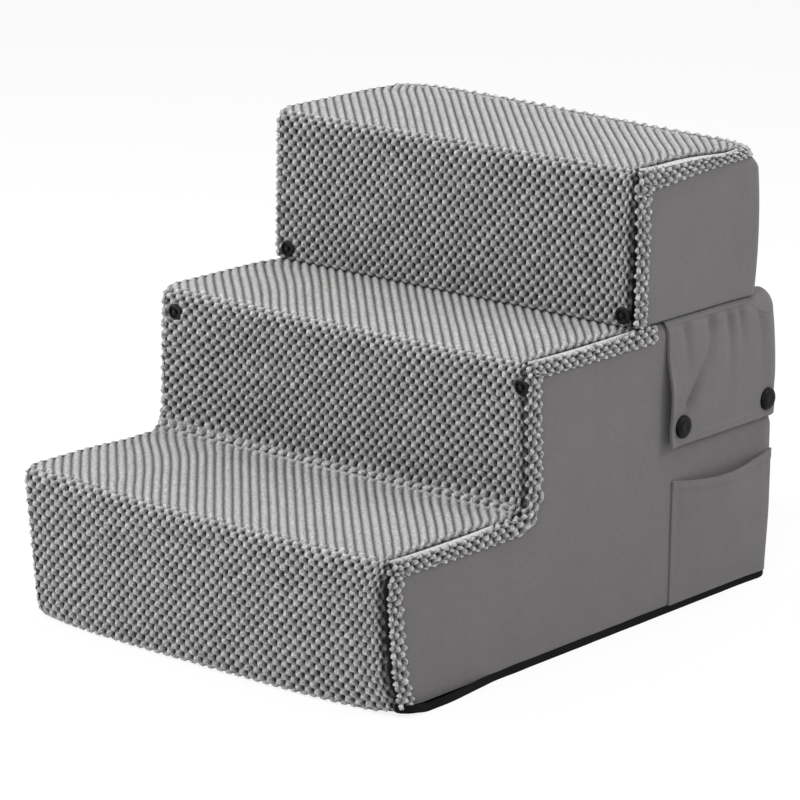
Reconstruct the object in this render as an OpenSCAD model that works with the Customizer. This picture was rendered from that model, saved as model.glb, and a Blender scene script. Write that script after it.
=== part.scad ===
// Foam pet stairs in a plush and woven cover: a two level base, a loose top block that makes the
// third step, retaining flaps with press studs at its foot, and a patch pocket on the right side.
// Millimetres, +X to the right, +Y to the back, +Z up, origin on the floor under the base's middle.

/* [Base] */
// Width over the plush side bands
stair_w = 400; // [320:5:520]
// Depth of the base, from the first nose to the back panel
base_d = 532; // [516:4:640]
// Height of the first tread
rise_1 = 132; // [110:2:160]
// Height from the first tread to the second
rise_2 = 128; // [122:2:160]
// First nose to the second nose
tread_1_run = 172; // [140:2:174]
// Second nose to the face of the loose block
tread_2_run = 145; // [120:1:147]
// How far a nose of the base leans out over the foot of its riser
riser_lean = 17; // [6:1:22]

/* [Loose block] */
// Height of the loose top block
block_h = 137; // [110:1:180]
// Depth of the loose top block over its plush
block_d = 182; // [140:1:186]

/* [Cover] */
// Thickness of the bumpy plush with its backing
plush_t = 7; // [5:0.5:9]
// Thickness of the smooth woven panels with their lining
panel_t = 2; // [1.5:0.5:3]
// How far the plush bands stand proud of the smooth sides
band_proud = 3; // [2:0.5:4]
// How far a plush band reaches down a side below the tread
band_drop = 15; // [12:1:20]
// Distance from the outer side to the seam between tread and band
seam_inset = 8; // [7:0.5:10]
// Width of the open seam
seam_gap = 4; // [3:0.5:5]
// How far the second tread's plush runs in under the block
tuck_d = 30; // [15:1:40]
// Height of the turned up edge of the non-slip base fabric
rim_h = 7; // [5:1:12]

/* [Rounding] */
// Radius of the plush noses
nose_r = 12; // [9:1:16]
// Radius where the plush bridges the inner corner
corner_r = 13; // [8:1:16]
// Radius of the base's rear upright corners
rear_r = 22; // [16:1:26]
// Radius of the deck's edges beside and behind the block
deck_edge_r = 14; // [12:1:18]
// Radius of the block's rear upright corners
block_rear_r = 16; // [12:1:20]
// Radius of the block's bottom edges
block_foot_r = 8; // [5:1:10]

/* [Flaps and pocket] */
// Distance from the block's face back to a flap's front edge
flap_setback = 46; // [38:1:54]
// Drop of a flap below the deck
flap_drop = 110; // [100:1:114]
// Thickness of the flap fabric
flap_t = 2; // [1.5:0.1:2.5]
// Height of a flap's hem
hem_h = 8; // [6:1:12]
// Swell of a flap between its press studs
flap_belly = 3; // [0:0.5:5]
// Distance from a flap's front edge back to the pocket's front seam
pocket_setback = 14; // [8:1:26]
// Height of the pocket's mouth at its seams
pocket_top = 118; // [90:1:122]
// Sag of the mouth's middle
mouth_sag = 7; // [0:1:12]
// Room inside the pocket
pocket_room = 6.5; // [5.5:0.5:9]
// Thickness of the pocket cloth
pocket_t = 1.6; // [1:0.1:2]

/* [Press studs] */
// Diameter of the domed caps
cap_d = 20; // [16:0.5:22]
// Diameter of the open studs on the risers
face_stud_d = 15; // [12:0.5:16]
// Drop of a flap's press studs below the deck
stud_drop = 94; // [80:1:96]
// Distance from a flap's front edge to its front press stud
stud_front_inset = 19; // [17:1:27]
// Distance from the back to a flap's rear press stud
stud_rear_inset = 24; // [14:1:30]

/* [Zips] */
// Distance from the end of the teeth to the nearest rounded corner
zip_end_gap = 10; // [8:1:60]
// Height of the base's zip over the floor
base_zip_z = 42; // [34:1:80]
// Height of the block's zip over its foot
block_zip_rise = 42; // [34:1:80]

/* [Hidden] */

// Overrun of a cut past the face it starts from
over = 1;
// Gap between soft pieces that belong to different bodies
soft_gap = 0.3;
// Segments of a rounded corner in an outline, and of the block's rear corners
arc_steps = 5;
rear_steps = 14;
$fn = 48;

// Levels and places that follow from the driving sizes
z_deck = rise_1 + rise_2;
block_z = z_deck + soft_gap;
z_top = z_deck + block_h;
nose_1_y = -base_d / 2;
nose_2_y = nose_1_y + tread_1_run;
block_y = nose_2_y + tread_2_run;
block_back_y = block_y + block_d;
back_y = base_d / 2;
tuck_y = block_y + tuck_d;
flap_front_y = block_y + flap_setback;
pocket_front_y = flap_front_y + pocket_setback;
stud_front_y = flap_front_y + stud_front_inset;
stud_rear_y = back_y - stud_rear_inset;
outer_x = stair_w / 2;
side_x = outer_x - band_proud;
foam_x = side_x - panel_t;
seam_x = outer_x - seam_inset;
plush_x = seam_x - seam_gap / 2;
band_x = seam_x + seam_gap / 2;
plush_foot = panel_t / 2;
zip_l = 2 * (side_x - max(rear_r, block_rear_r) - zip_end_gap);
least_r = panel_t / 4;

plush_colour = [0.56, 0.56, 0.56];
band_colour = [0.50, 0.50, 0.50];
woven_colour = [0.40, 0.39, 0.40];
foam_colour = [0.92, 0.90, 0.80];
black_colour = [0.08, 0.08, 0.09];
tape_colour = [0.70, 0.70, 0.70];
metal_colour = [0.45, 0.45, 0.47];

// Outlines

function unit(v) = v / norm(v);

// Points of an arc that rounds the corner b of the path a, b, c
function rounded(a, b, c, r, steps = arc_steps) =
  let (
    u = unit(a - b),
    v = unit(c - b),
    half = acos(u * v) / 2,
    o = b + unit(u + v) * r / sin(half),
    s = b + u * r / tan(half) - o,
    e = b + v * r / tan(half) - o,
    start = atan2(s.y, s.x),
    turn = atan2(s.x * e.y - s.y * e.x, s * e)
  )
  [for (i = [0:steps]) o + r * [cos(start + turn * i / steps), sin(start + turn * i / steps)]];

// Place of a leaning riser's face at height z, drawn in by a
function riser_y(nose_y, top_z, rise, z, a) =
  nose_y + riser_lean * (top_z - z) / rise + a * norm([rise, riser_lean]) / rise;

function riser_1_y(z, a) = riser_y(nose_1_y, rise_1, rise_1, z, a);
function riser_2_y(z, a) = riser_y(nose_2_y, z_deck, rise_2, z, a);

// The steps' line from the foot of the first riser to under the block, drawn in by a
function step_line(a) =
  let (
    foot = [riser_1_y(plush_foot, a), plush_foot],
    nose_1 = [riser_1_y(rise_1 - a, a), rise_1 - a],
    corner = [riser_2_y(rise_1 - a, a), rise_1 - a],
    nose_2 = [riser_2_y(z_deck - a, a), z_deck - a],
    end = [tuck_y, z_deck - a],
    r = max(nose_r - a, least_r)
  )
  concat(
    [foot],
    rounded(foot, nose_1, corner, r),
    rounded(nose_1, corner, nose_2, corner_r + a),
    rounded(corner, nose_2, end, r),
    [end]
  );

// Index at which the two steps' plush pieces meet, in the inner corner
meet = 1 + (arc_steps + 1) + floor(arc_steps / 2);
last = 3 * (arc_steps + 1) + 1;

// The block's line from its foot up its face and back along its top, drawn in by a
function block_line(a, end_y) =
  let (
    foot = [block_y + a, block_z + plush_foot],
    nose = [block_y + a, z_top - a],
    end = [end_y, z_top - a]
  )
  concat([foot], rounded(foot, nose, end, max(nose_r - a, least_r)), [end]);

// The block's rear line in plan, from the right side round both corners, drawn in by a
function rear_line(a) =
  let (
    x = outer_x - a,
    y = block_back_y - a,
    start = block_back_y - block_rear_r,
    r = max(block_rear_r - a, least_r)
  )
  concat(
    rounded([x, start - block_rear_r], [x, y], [0, y], r, rear_steps),
    rounded([0, y], [-x, y], [-x, start - block_rear_r], r, rear_steps)
  );

// Faces between one ring of points and the next, in a solid whose rings have n points
function ring_faces(n, k) =
  [for (i = [0:n - 1]) let (j = (i + 1) % n) each [
    [k * n + i, (k + 1) * n + i, (k + 1) * n + j],
    [k * n + i, (k + 1) * n + j, k * n + j]
  ]];

// A closed solid between rings of equal length, with a flat face at each end
module loft(rings) {
  n = len(rings[0]);
  m = len(rings);
  polyhedron(
    points = [for (ring = rings) each ring],
    faces = concat(
      [[for (i = [0:n - 1]) i]],
      [[for (i = [n - 1:-1:0]) (m - 1) * n + i]],
      [for (k = [0:m - 2]) each ring_faces(n, k)]
    )
  );
}

// A section's points at each point of its lines, as rings across x
function rings_along(section, lines, first, final) = [
  for (i = [first:final]) [for (k = [0:len(section) - 1]) [section[k].x, lines[k][i].x, lines[k][i].y]]
];

// Sections across the plush, as pairs of sideways place and depth under the outer face

// A plush piece with its side edges rolled down into the seams
function plush_section() =
  let (roll = seam_gap / 2)
  [
    [-plush_x, plush_t], [-plush_x, plush_t * 0.4], [-plush_x + roll / 2, plush_t * 0.16],
    [-plush_x + roll * 2, 0], [plush_x - roll * 2, 0], [plush_x - roll / 2, plush_t * 0.16],
    [plush_x, plush_t * 0.4], [plush_x, plush_t]
  ];

// A band that wraps from the tread over the edge and down the side
function band_section() =
  let (w = outer_x - band_x)
  [
    [band_x, plush_t], [band_x, plush_t * 0.3], [band_x + w * 0.2, plush_t * 0.06],
    [band_x + w * 0.6, plush_t * 0.1], [outer_x - w * 0.1, plush_t * 0.4], [outer_x, plush_t * 0.8],
    [outer_x, band_drop - band_proud * 0.8], [outer_x - band_proud * 0.3, band_drop - band_proud * 0.2],
    [side_x, band_drop], [foam_x, band_drop], [foam_x, plush_t]
  ];

// Base

// The foam outline of the base from the side, between two heights
module foam_outline(low_z, high_z) {
  line = step_line(plush_t);
  intersection() {
    polygon(concat(line, [
      [tuck_y, z_deck - panel_t], [back_y - panel_t, z_deck - panel_t],
      [back_y - panel_t, panel_t], [line[0].x, panel_t]
    ]));
    translate([nose_1_y, low_z]) square([base_d, high_z - low_z]);
  }
}

// Places a shape drawn in depth and height so that it spans x from low to high
module along_x(low, high) {
  translate([low, 0, 0]) rotate([90, 0, 90]) linear_extrude(high - low) children();
}

// A rectangle in plan whose two rear corners are rounded
module rear_round_plan(half_w, front, back, r) {
  translate([-half_w, front]) square([2 * half_w, back - r - front]);
  translate([-half_w + r, back - 2 * r]) square([2 * (half_w - r), 2 * r]);
  for (s = [-1, 1]) translate([s * (half_w - r), back - r]) circle(r);
}

// The rounded rear half of the base, from just before the end of the tuck, drawn in by a
module rear_form(a) {
  start = tuck_y - over;
  intersection() {
    translate([0, 0, a]) linear_extrude(z_deck - 2 * a)
      rear_round_plan(side_x - a, start, back_y - a, rear_r - a);
    along_x(-outer_x, outer_x) {
      translate([start, 0]) square([back_y - deck_edge_r - start, z_deck - a]);
      translate([start, 0]) square([back_y - a - start, z_deck - deck_edge_r]);
      translate([back_y - deck_edge_r, z_deck - deck_edge_r]) circle(deck_edge_r - a);
    }
    translate([0, back_y, 0]) rotate([90, 0, 0]) linear_extrude(back_y - start) {
      translate([-side_x + a, 0]) square([2 * (side_x - a), z_deck - deck_edge_r]);
      translate([-side_x + deck_edge_r, 0]) square([2 * (side_x - deck_edge_r), z_deck - a]);
      for (s = [-1, 1]) translate([s * (side_x - deck_edge_r), z_deck - deck_edge_r]) circle(deck_edge_r - a);
    }
  }
}

// One foam slab of the base between two heights
module base_foam(low_z, high_z) {
  intersection() {
    along_x(-foam_x, foam_x) foam_outline(low_z, high_z);
    union() {
      translate([-foam_x, nose_1_y, 0]) cube([2 * foam_x, tuck_y - nose_1_y, z_deck]);
      rear_form(panel_t);
    }
  }
}

// The smooth skin of the base's rear half
module rear_skin() {
  difference() {
    rear_form(0);
    rear_form(panel_t);
  }
}

module lower_foam() {
  color(foam_colour) difference() {
    base_foam(panel_t, rise_1 - plush_t);
    zip_relief(base_zip_z, back_y);
  }
}

module middle_foam() {
  color(foam_colour) difference() {
    base_foam(rise_1 - plush_t, z_deck);
    at_side_studs() stud_back_seat();
  }
}

// Non-slip fabric under the base, turned up along the sides and the back
module anti_slip_base() {
  front = step_line(plush_t)[0].x;
  rim_front = riser_1_y(plush_foot, band_drop);
  color(black_colour) difference() {
    linear_extrude(rim_h) rear_round_plan(side_x, front, back_y, rear_r);
    translate([0, 0, panel_t]) linear_extrude(rim_h)
      rear_round_plan(foam_x, front - over, back_y - panel_t, rear_r - panel_t);
    translate([-outer_x, front - over, panel_t]) cube([stair_w, rim_front - front + over, rim_h]);
    // room for the foot of the side bands
    for (s = [0, 1]) mirror([s, 0, 0])
      translate([foam_x, front - over, -over]) cube([outer_x, rim_front - front + over, rim_h + 2 * over]);
  }
}

module side_panel() {
  line = step_line(band_drop);
  color(woven_colour) difference() {
    along_x(foam_x, side_x) polygon(concat(
      [[riser_1_y(rim_h, band_drop), rim_h]],
      [for (i = [1:last]) line[i]],
      [[tuck_y, z_deck - deck_edge_r], [back_y - rear_r, z_deck - deck_edge_r], [back_y - rear_r, rim_h]]
    ));
    at_side_studs_one() stud_hole();
  }
}

module side_panel_right() { side_panel(); }

module side_panel_left() { mirror([1, 0, 0]) side_panel(); }

// Smooth deck under the block, with its rounded edges
module deck_panel() {
  color(woven_colour) intersection() {
    rear_skin();
    translate([-outer_x, tuck_y, z_deck - deck_edge_r]) cube([stair_w, base_d, deck_edge_r + over]);
  }
}

// Back of the base, wrapped round both rear corners, with the slot for its zip
module back_panel() {
  color(woven_colour) difference() {
    intersection() {
      rear_skin();
      translate([-outer_x, back_y - rear_r, rim_h])
        cube([stair_w, rear_r + over, z_deck - deck_edge_r - rim_h]);
    }
    zip_slot(base_zip_z, back_y);
    at_side_studs() stud_hole();
  }
}

// Plush of one stretch of the steps, between two points of their line
module step_plush(first, final) {
  section = plush_section();
  lines = [for (p = section) step_line(p.y)];
  color(plush_colour) loft(rings_along(section, lines, first, final));
}

module step_1_plush() { step_plush(0, meet); }

module step_2_plush() { step_plush(meet, last); }

module side_band() {
  section = band_section();
  lines = [for (p = section) step_line(p.y)];
  color(band_colour) loft(rings_along(section, lines, 0, last));
}

module side_band_right() { side_band(); }

module side_band_left() { mirror([1, 0, 0]) side_band(); }

// Seam tapes, which show as a light lens between tread and band

tape_t = 1;
tape_w = 3.4;
tape_end_gap = 12;
tape_depth = 2.6;

// One tape lying at height z from low to high along the depth
module seam_tape(low, high, z) {
  mid = (low + high) / 2;
  long = (high - low) / 2;
  taper_shares = [[-1, 0.2], [-0.6, 0.8], [0, 1], [0.6, 0.8], [1, 0.2]];
  translate([seam_x, 0, z - tape_depth - tape_t]) linear_extrude(tape_t) polygon(concat(
    [for (t = taper_shares) [t.y * tape_w / 2, mid + t.x * long]],
    [for (i = [len(taper_shares) - 1:-1:0]) [-taper_shares[i].y * tape_w / 2, mid + taper_shares[i].x * long]]
  ));
}

module tread_seam_tapes() {
  color(tape_colour) for (s = [0, 1]) mirror([s, 0, 0]) {
    seam_tape(nose_1_y + tape_end_gap, riser_2_y(rise_1, 0) - tape_end_gap, rise_1);
    seam_tape(nose_2_y + tape_end_gap, block_y - tape_end_gap / 2, z_deck);
  }
}

// Pocket, flaps and the side they lie on

// Point and outward direction of the side in plan, at arc length s behind y = start
function side_at(start, s) =
  let (flat = back_y - rear_r - start)
  s <= flat
    ? [[side_x, start + s], [1, 0]]
    : let (t = (s - flat) / rear_r * 180 / PI)
      [[side_x - rear_r, back_y - rear_r] + rear_r * [cos(t), sin(t)], [cos(t), sin(t)]];

// A closed sheet between two grids of points, each a list of rows, with a narrow strip round its edge
module sheet(near, far) {
  cols = len(near[0]);
  n = 2 * cols;
  m = len(near);
  function edge_faces(start) = [for (i = [0:cols - 2]) each [
    [start + i, start + i + 1, start + n - 2 - i],
    [start + i, start + n - 2 - i, start + n - 1 - i]
  ]];
  polyhedron(
    points = [for (k = [0:m - 1]) each concat(near[k], [for (i = [cols - 1:-1:0]) far[k][i]])],
    faces = concat(
      edge_faces(0),
      [for (f = edge_faces((m - 1) * n)) [f[2], f[1], f[0]]],
      [for (k = [0:m - 2]) each ring_faces(n, k)]
    )
  );
}

pocket_cols = 20;
pocket_rows = 9;
pocket_wrap = 9;
pocket_seat = 0.3;
pocket_margin_share = 0.06;

// Outward swell of the pocket at shares u along and v up its face
function pocket_swell(u, v) =
  let (m = pocket_margin_share, w = min(max((u - m) / (1 - 2 * m), 0), 1), h = max((v - m) / (1 - m), 0))
  pocket_room * 1.15 * min(1, pow(max(sin(180 * w), 0), 0.7)) * min(1, 0.4 * sqrt(h) + 0.75 * h);

module pocket_right() {
  length = back_y - rear_r - pocket_front_y + pocket_wrap;
  function point(u, v, out) =
    let (
      at = side_at(pocket_front_y, u * length),
      top = pocket_top - mouth_sag * sin(180 * u),
      place = at[0] + at[1] * (pocket_seat + pocket_swell(u, v) + out)
    )
    [place.x, place.y, rim_h + (top - rim_h) * v];
  function grid(out) = [
    for (k = [0:pocket_rows]) [for (i = [0:pocket_cols]) point(i / pocket_cols, k / pocket_rows, out)]
  ];
  color(woven_colour) sheet(grid(pocket_t), grid(0));
}

// Flap

flap_cols = 24;
flap_rows = 12;
flap_wrap_angle = 66;
fold_angle = 32;
// Distance of the cloth's middle from the side: at the fold, where it hangs free, round the rear
// corner, and over a press stud
fold_out = 1.95;
hang_out = 2.6;
wrap_out = 1.7;
stud_out = 5.2;
// Flat stretch of cloth round a press stud, and how far the cloth takes to fall back from it
stud_flat_r = 9;
stud_lift_reach = 24;
crease_d = 1.4;
crease_w = 5;
crease_l = 60;
crease_lean = 30;
gather_d = 1.1;
gather_pitch = 31;
gather_share = 0.45;
belly_low_share = 0.8;
seam_angle = 60;
seam_strip_gap_angle = 6;
seam_strip_t = 1.3;
flap_sewn_end = 34;
flap_corner_drop = 4;
hem_proud = 0.8;

flap_flat = back_y - rear_r - flap_front_y;
flap_length = flap_flat + rear_r * flap_wrap_angle * PI / 180;
flap_hang = flap_drop - deck_edge_r;

// A smooth step from none at a to one at b
function smooth(a, b, x) = let (t = min(max((x - a) / (b - a), 0), 1)) t * t * (3 - 2 * t);

// Share of the sewn top that is left at arc length s, one along the crease and none at the corner
function sewn_share(s) = 1 - smooth(flap_flat - flap_sewn_end, flap_flat, s);

// Arc length at which a press stud at depth y sits
function stud_arc(y) =
  let (past = y - back_y + rear_r)
  past <= 0 ? y - flap_front_y : flap_flat + asin(past / rear_r) * PI / 180 * rear_r;

// Distance from the nearer press stud at arc length s and the given fall below the deck's edge
function stud_distance(s, fall) = min([
  for (y = [stud_front_y, stud_rear_y]) norm([s - stud_arc(y), fall - stud_drop + deck_edge_r])
]);

// Distance of the cloth's middle from the side, without its folds
function flap_out(s, fall) =
  let (
    free = hang_out + (wrap_out - hang_out) * smooth(flap_flat, flap_length, s),
    near = 1 - smooth(stud_flat_r, stud_lift_reach, stud_distance(s, fall))
  )
  free + (stud_out - free) * near;

// Outward belly, top gathers and the crease that runs up from the front stud
function flap_swell(s, fall) =
  let (
    u = s / flap_length,
    v = fall / flap_hang,
    along = s - stud_arc(stud_front_y),
    down = fall - stud_drop + deck_edge_r,
    crease = exp(-pow((along * cos(crease_lean) + down * sin(crease_lean)) / crease_w, 2))
  )
  smooth(stud_flat_r, stud_lift_reach, stud_distance(s, fall)) * (
    flap_belly * sin(180 * u) * sin(180 * belly_low_share * v)
    + gather_d * sin(360 * s / gather_pitch) * max(1 - v / gather_share, 0) * smooth(0, gather_share / 2, v)
    - crease_d * crease * max(1 - norm([along, down]) / crease_l, 0)
  );

// A point of the flap at arc length s and travel down the cloth, where out is the depth through it
function flap_point(s, travel, out) =
  let (
    at = side_at(flap_front_y, s),
    low = (1 - sewn_share(s)) * flap_corner_drop,
    arc = fold_arc(s),
    angle = travel < arc ? (arc - travel) / (deck_edge_r + fold_out) * 180 / PI : 0,
    fall = max(travel - arc, 0),
    reach = fold_out + (flap_out(s, fall) - fold_out) * smooth(0, deck_edge_r, fall),
    away = (deck_edge_r + reach + out) * cos(angle) - deck_edge_r + flap_swell(s, fall),
    place = at[0] + at[1] * away
  )
  [place.x, place.y, z_deck - deck_edge_r + (deck_edge_r + reach + out) * sin(angle) - fall - low];

// Length of the cloth's path on the deck's edge
function fold_arc(s) = (deck_edge_r + fold_out) * fold_angle * sewn_share(s) * PI / 180;

// Travel down the cloth at row k, where the last two rows are the hem's
function flap_travel(s, k) =
  let (total = fold_arc(s) + flap_hang - (1 - sewn_share(s)) * flap_corner_drop)
  k > flap_rows ? total - hem_h * (flap_rows + 2 - k) : (total - hem_h - hem_proud) * k / flap_rows;

module flap() {
  function grid(side_out) = [for (k = [0:flap_rows + 2]) [for (i = [0:flap_cols])
    let (s = flap_length * i / flap_cols)
    flap_point(s, flap_travel(s, k), side_out + (side_out > 0 && k > flap_rows ? hem_proud : 0))]];
  color(woven_colour) sheet(grid(-flap_t / 2), grid(flap_t / 2));
}

module flap_right() { flap(); }

module flap_left() { mirror([1, 0, 0]) flap(); }

// Sewn edge of the flaps in the crease under the block
module flap_seam_strips() {
  start = flap_front_y;
  end = back_y - rear_r - flap_sewn_end;
  strip_angle = fold_angle + seam_strip_gap_angle;
  color(woven_colour) for (s = [0, 1]) mirror([s, 0, 0])
    translate([side_x - deck_edge_r, end, z_deck - deck_edge_r]) rotate([90, 0, 0])
      linear_extrude(end - start) difference() {
        intersection() {
          circle(deck_edge_r + soft_gap / 3 + seam_strip_t);
          polygon([[0, 0], 2 * deck_edge_r * [cos(strip_angle), sin(strip_angle)],
            2 * deck_edge_r * [cos(seam_angle), sin(seam_angle)]]);
        }
        circle(deck_edge_r + soft_gap / 3);
      }
}

// Press studs

stud_flange_r = 7;
stud_flange_t = 0.9;
post_r = 2.2;
post_tip_r = 1.8;
rivet_r = 1.9;
back_r = 4.5;
back_t = 1;
back_sink = 0.6;
socket_r = 6.2;
socket_bore_r = 2.8;
socket_t = 2.9;
cap_h = 4.4;
cap_rim_h = 1.3;
cap_dish = 0.4;
socket_floor = 0.6;
socket_lead = 0.3;
socket_bulge = 0.4;

post_l = stud_out - flap_t / 2 - socket_floor - soft_gap;

// Places children at the right side's press studs, looking out square to the cloth there
module at_side_studs_one() {
  for (y = [stud_front_y, stud_rear_y]) {
    at = side_at(flap_front_y, stud_arc(y));
    translate([at[0].x, at[0].y, z_deck - stud_drop]) rotate([0, 0, atan2(at[1].y, at[1].x)])
      rotate([0, 90, 0]) children();
  }
}

module at_side_studs() {
  for (s = [0, 1]) mirror([s, 0, 0]) at_side_studs_one() children();
}

module stud_hole() { translate([0, 0, -2 * rear_r]) cylinder(r = rivet_r, h = 3 * rear_r); }

module stud_back_seat() {
  translate([0, 0, -panel_t - back_sink - back_t])
    cylinder(r = back_r + soft_gap, h = back_t + back_sink + panel_t + over);
}

module side_studs() {
  color(black_colour) at_side_studs() rotate_extrude() polygon([
    [0, -panel_t - back_sink], [rivet_r, -panel_t - back_sink], [rivet_r, 0], [stud_flange_r, 0],
    [stud_flange_r, stud_flange_t / 2], [post_r * 1.6, stud_flange_t], [post_r * 0.9, stud_flange_t],
    [post_r, post_l * 0.7], [post_tip_r, post_l], [0, post_l]
  ]);
}

module side_stud_backs() {
  color(metal_colour) at_side_studs() translate([0, 0, -panel_t - back_sink - back_t])
    rotate_extrude() polygon([
      [0, 0], [back_r - back_t / 2, 0], [back_r, back_t / 2], [back_r, back_t], [0, back_t]
    ]);
}

// Sockets under the flap: a ring that the post enters, closed towards the cloth
module flap_sockets() {
  low = stud_out - flap_t / 2 - socket_t;
  color(black_colour) at_side_studs_one() translate([0, 0, low]) rotate_extrude() polygon([
    [socket_bore_r + socket_lead, 0], [socket_r, 0], [socket_r + socket_bulge, socket_t / 2],
    [socket_r, socket_t], [0, socket_t],
    [0, socket_t - socket_floor], [socket_bore_r, socket_t - socket_floor], [socket_bore_r, socket_t * 0.2]
  ]);
}

// Domed caps outside the flap, riveted through the cloth
module flap_caps() {
  r = cap_d / 2;
  arc_shares = [[1, 0], [1, 0.3], [0.94, 0.62], [0.8, 0.86], [0.62, 0.97], [0.45, 1]];
  color(black_colour) at_side_studs_one() translate([0, 0, stud_out + flap_t / 2])
    rotate_extrude() polygon(concat(
      [[0, -flap_t], [rivet_r, -flap_t], [rivet_r, 0]],
      [for (p = arc_shares) [p.x * r, p.y * cap_h]],
      [[0, cap_h - cap_dish]]
    ));
}

module flap_right_caps() { flap_caps(); }

module flap_left_caps() { mirror([1, 0, 0]) flap_caps(); }

module flap_right_sockets() { flap_sockets(); }

module flap_left_sockets() { mirror([1, 0, 0]) flap_sockets(); }

face_stud_x_inset = 11;
face_stud_drop = 22;
block_stud_x_inset = 16;
block_stud_rise = 11;
face_stud_h = 3.4;
face_stud_sink = 1.6;

// Open stud on a riser: a dished rim with a post in its middle, set into the plush
module face_stud() {
  r = face_stud_d / 2;
  rotate_extrude() polygon([
    [0, -face_stud_sink], [r * 0.9, -face_stud_sink], [r, -face_stud_sink * 0.4], [r, face_stud_h * 0.1],
    [r * 0.86, face_stud_h * 0.45], [r * 0.68, face_stud_h * 0.45], [r * 0.6, -face_stud_sink * 0.3],
    [r * 0.3, -face_stud_sink * 0.3], [r * 0.28, face_stud_h * 0.6], [r * 0.2, face_stud_h * 0.8],
    [0, face_stud_h * 0.8]
  ]);
}

module riser_2_studs() {
  z = z_deck - face_stud_drop;
  color(black_colour) for (s = [-1, 1])
    translate([s * (outer_x - face_stud_x_inset), riser_2_y(z, 0), z])
      rotate([90 + atan(riser_lean / rise_2), 0, 0]) face_stud();
}

module block_studs() {
  color(black_colour) for (s = [-1, 1])
    translate([s * (outer_x - block_stud_x_inset), block_y, block_z + block_stud_rise])
      rotate([90, 0, 0]) face_stud();
}

// Zips

zip_slot_h = 10;
tape_half_h = 14;
zip_tape_t = 0.7;
teeth_h = 2.2;
teeth_t = 2.5;
teeth_gap = 1.8;
stop_l = 3;
slider_l = 11;
slider_h = 9;
slider_plate_t = 1.2;
slider_play = 0.4;
slider_lip_t = 0.9;
bail_l = 8.8;
bail_h = 3.9;
bail_t = 1.1;
bail_w = 2;
pull_bar_r = 0.8;
pull_arm_w = 1.4;
pull_l = 26;
pull_w = 7;
pull_t = 1.3;
relief_d = 3.4;

// Layers of a zip, counted outwards from the panel's outer face
zip_tape_y = -panel_t - zip_tape_t;
teeth_y = -panel_t;
inner_plate_y = zip_tape_y - slider_play - slider_plate_t;
outer_plate_y = teeth_y + teeth_t + slider_play;
bail_y = outer_plate_y + slider_plate_t;
pull_y = bail_y + bail_h - bail_t - pull_bar_r - slider_play / 2;
rest_x = zip_l / 2 - slider_l / 2 - slider_play;

module at_zip(z, y) { translate([0, y, z]) children(); }

module zip_relief(z, y) {
  at_zip(z, y) translate([-zip_l / 2 - 2 * stop_l, -panel_t - relief_d, -tape_half_h - over])
    cube([zip_l + 4 * stop_l, relief_d + panel_t + over, 2 * (tape_half_h + over)]);
}

module zip_slot(z, y) {
  at_zip(z, y) translate([-zip_l / 2 - stop_l, -panel_t - over, -zip_slot_h / 2])
    cube([zip_l + 2 * stop_l, panel_t + 2 * over, zip_slot_h]);
}

module zip_tape(z, y) {
  color(band_colour) at_zip(z, y) for (s = [0, 1]) mirror([0, 0, s])
    translate([-zip_l / 2 - 1.5 * stop_l, zip_tape_y, teeth_gap / 2])
      cube([zip_l + 3 * stop_l, zip_tape_t, tape_half_h - teeth_gap / 2]);
}

// Two rows of teeth with the slider's way between them
module zip_teeth(z, y) {
  color(metal_colour) at_zip(z, y) for (s = [0, 1]) mirror([0, 0, s])
    translate([-zip_l / 2, 0, 0]) rotate([90, 0, 90]) linear_extrude(zip_l) polygon([
      [teeth_y, teeth_gap / 2], [teeth_y + teeth_t, teeth_gap / 2],
      [teeth_y + teeth_t, teeth_gap / 2 + teeth_h * 0.6], [teeth_y + teeth_t * 0.6, teeth_gap / 2 + teeth_h],
      [teeth_y, teeth_gap / 2 + teeth_h]
    ]);
}

module zip_stops(z, y) {
  color(metal_colour) at_zip(z, y) for (s = [-1, 1])
    translate([s * (zip_l / 2 + stop_l / 2), teeth_y + teeth_t / 2, 0])
      cube([stop_l - slider_play, teeth_t, teeth_gap + 2 * teeth_h], center = true);
}

// Slider: two plates joined by a post between the teeth, side lips, and a bail for the pull
module zip_slider(z, y) {
  color(metal_colour) at_zip(z, y) translate([rest_x, 0, 0]) {
    for (plate_y = [inner_plate_y, outer_plate_y])
      translate([0, plate_y + slider_plate_t, 0]) rotate([90, 0, 0]) linear_extrude(slider_plate_t) polygon([
        [-slider_l / 2, -slider_h * 0.36], [0, -slider_h / 2], [slider_l / 2, -slider_h / 2],
        [slider_l / 2, slider_h / 2], [0, slider_h / 2], [-slider_l / 2, slider_h * 0.36]
      ]);
    translate([slider_l * 0.1, inner_plate_y, -teeth_gap / 2 + slider_play]) cube([
      slider_l * 0.35, outer_plate_y - inner_plate_y + slider_plate_t / 2, teeth_gap - 2 * slider_play
    ]);
    for (s = [0, 1]) mirror([0, 0, s])
      translate([0, teeth_y + teeth_t * 0.4, slider_h / 2 - slider_lip_t])
        cube([slider_l / 2, outer_plate_y - teeth_y - teeth_t * 0.4 + slider_plate_t / 2, slider_lip_t]);
    translate([0, bail_y, -bail_w / 2]) linear_extrude(bail_w) difference() {
      translate([-bail_l / 2, -slider_plate_t / 2]) square([bail_l, bail_h + slider_plate_t / 2]);
      translate([-bail_l / 2 + bail_t, 0]) square([bail_l - 2 * bail_t, bail_h - bail_t]);
    }
  }
}

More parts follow.
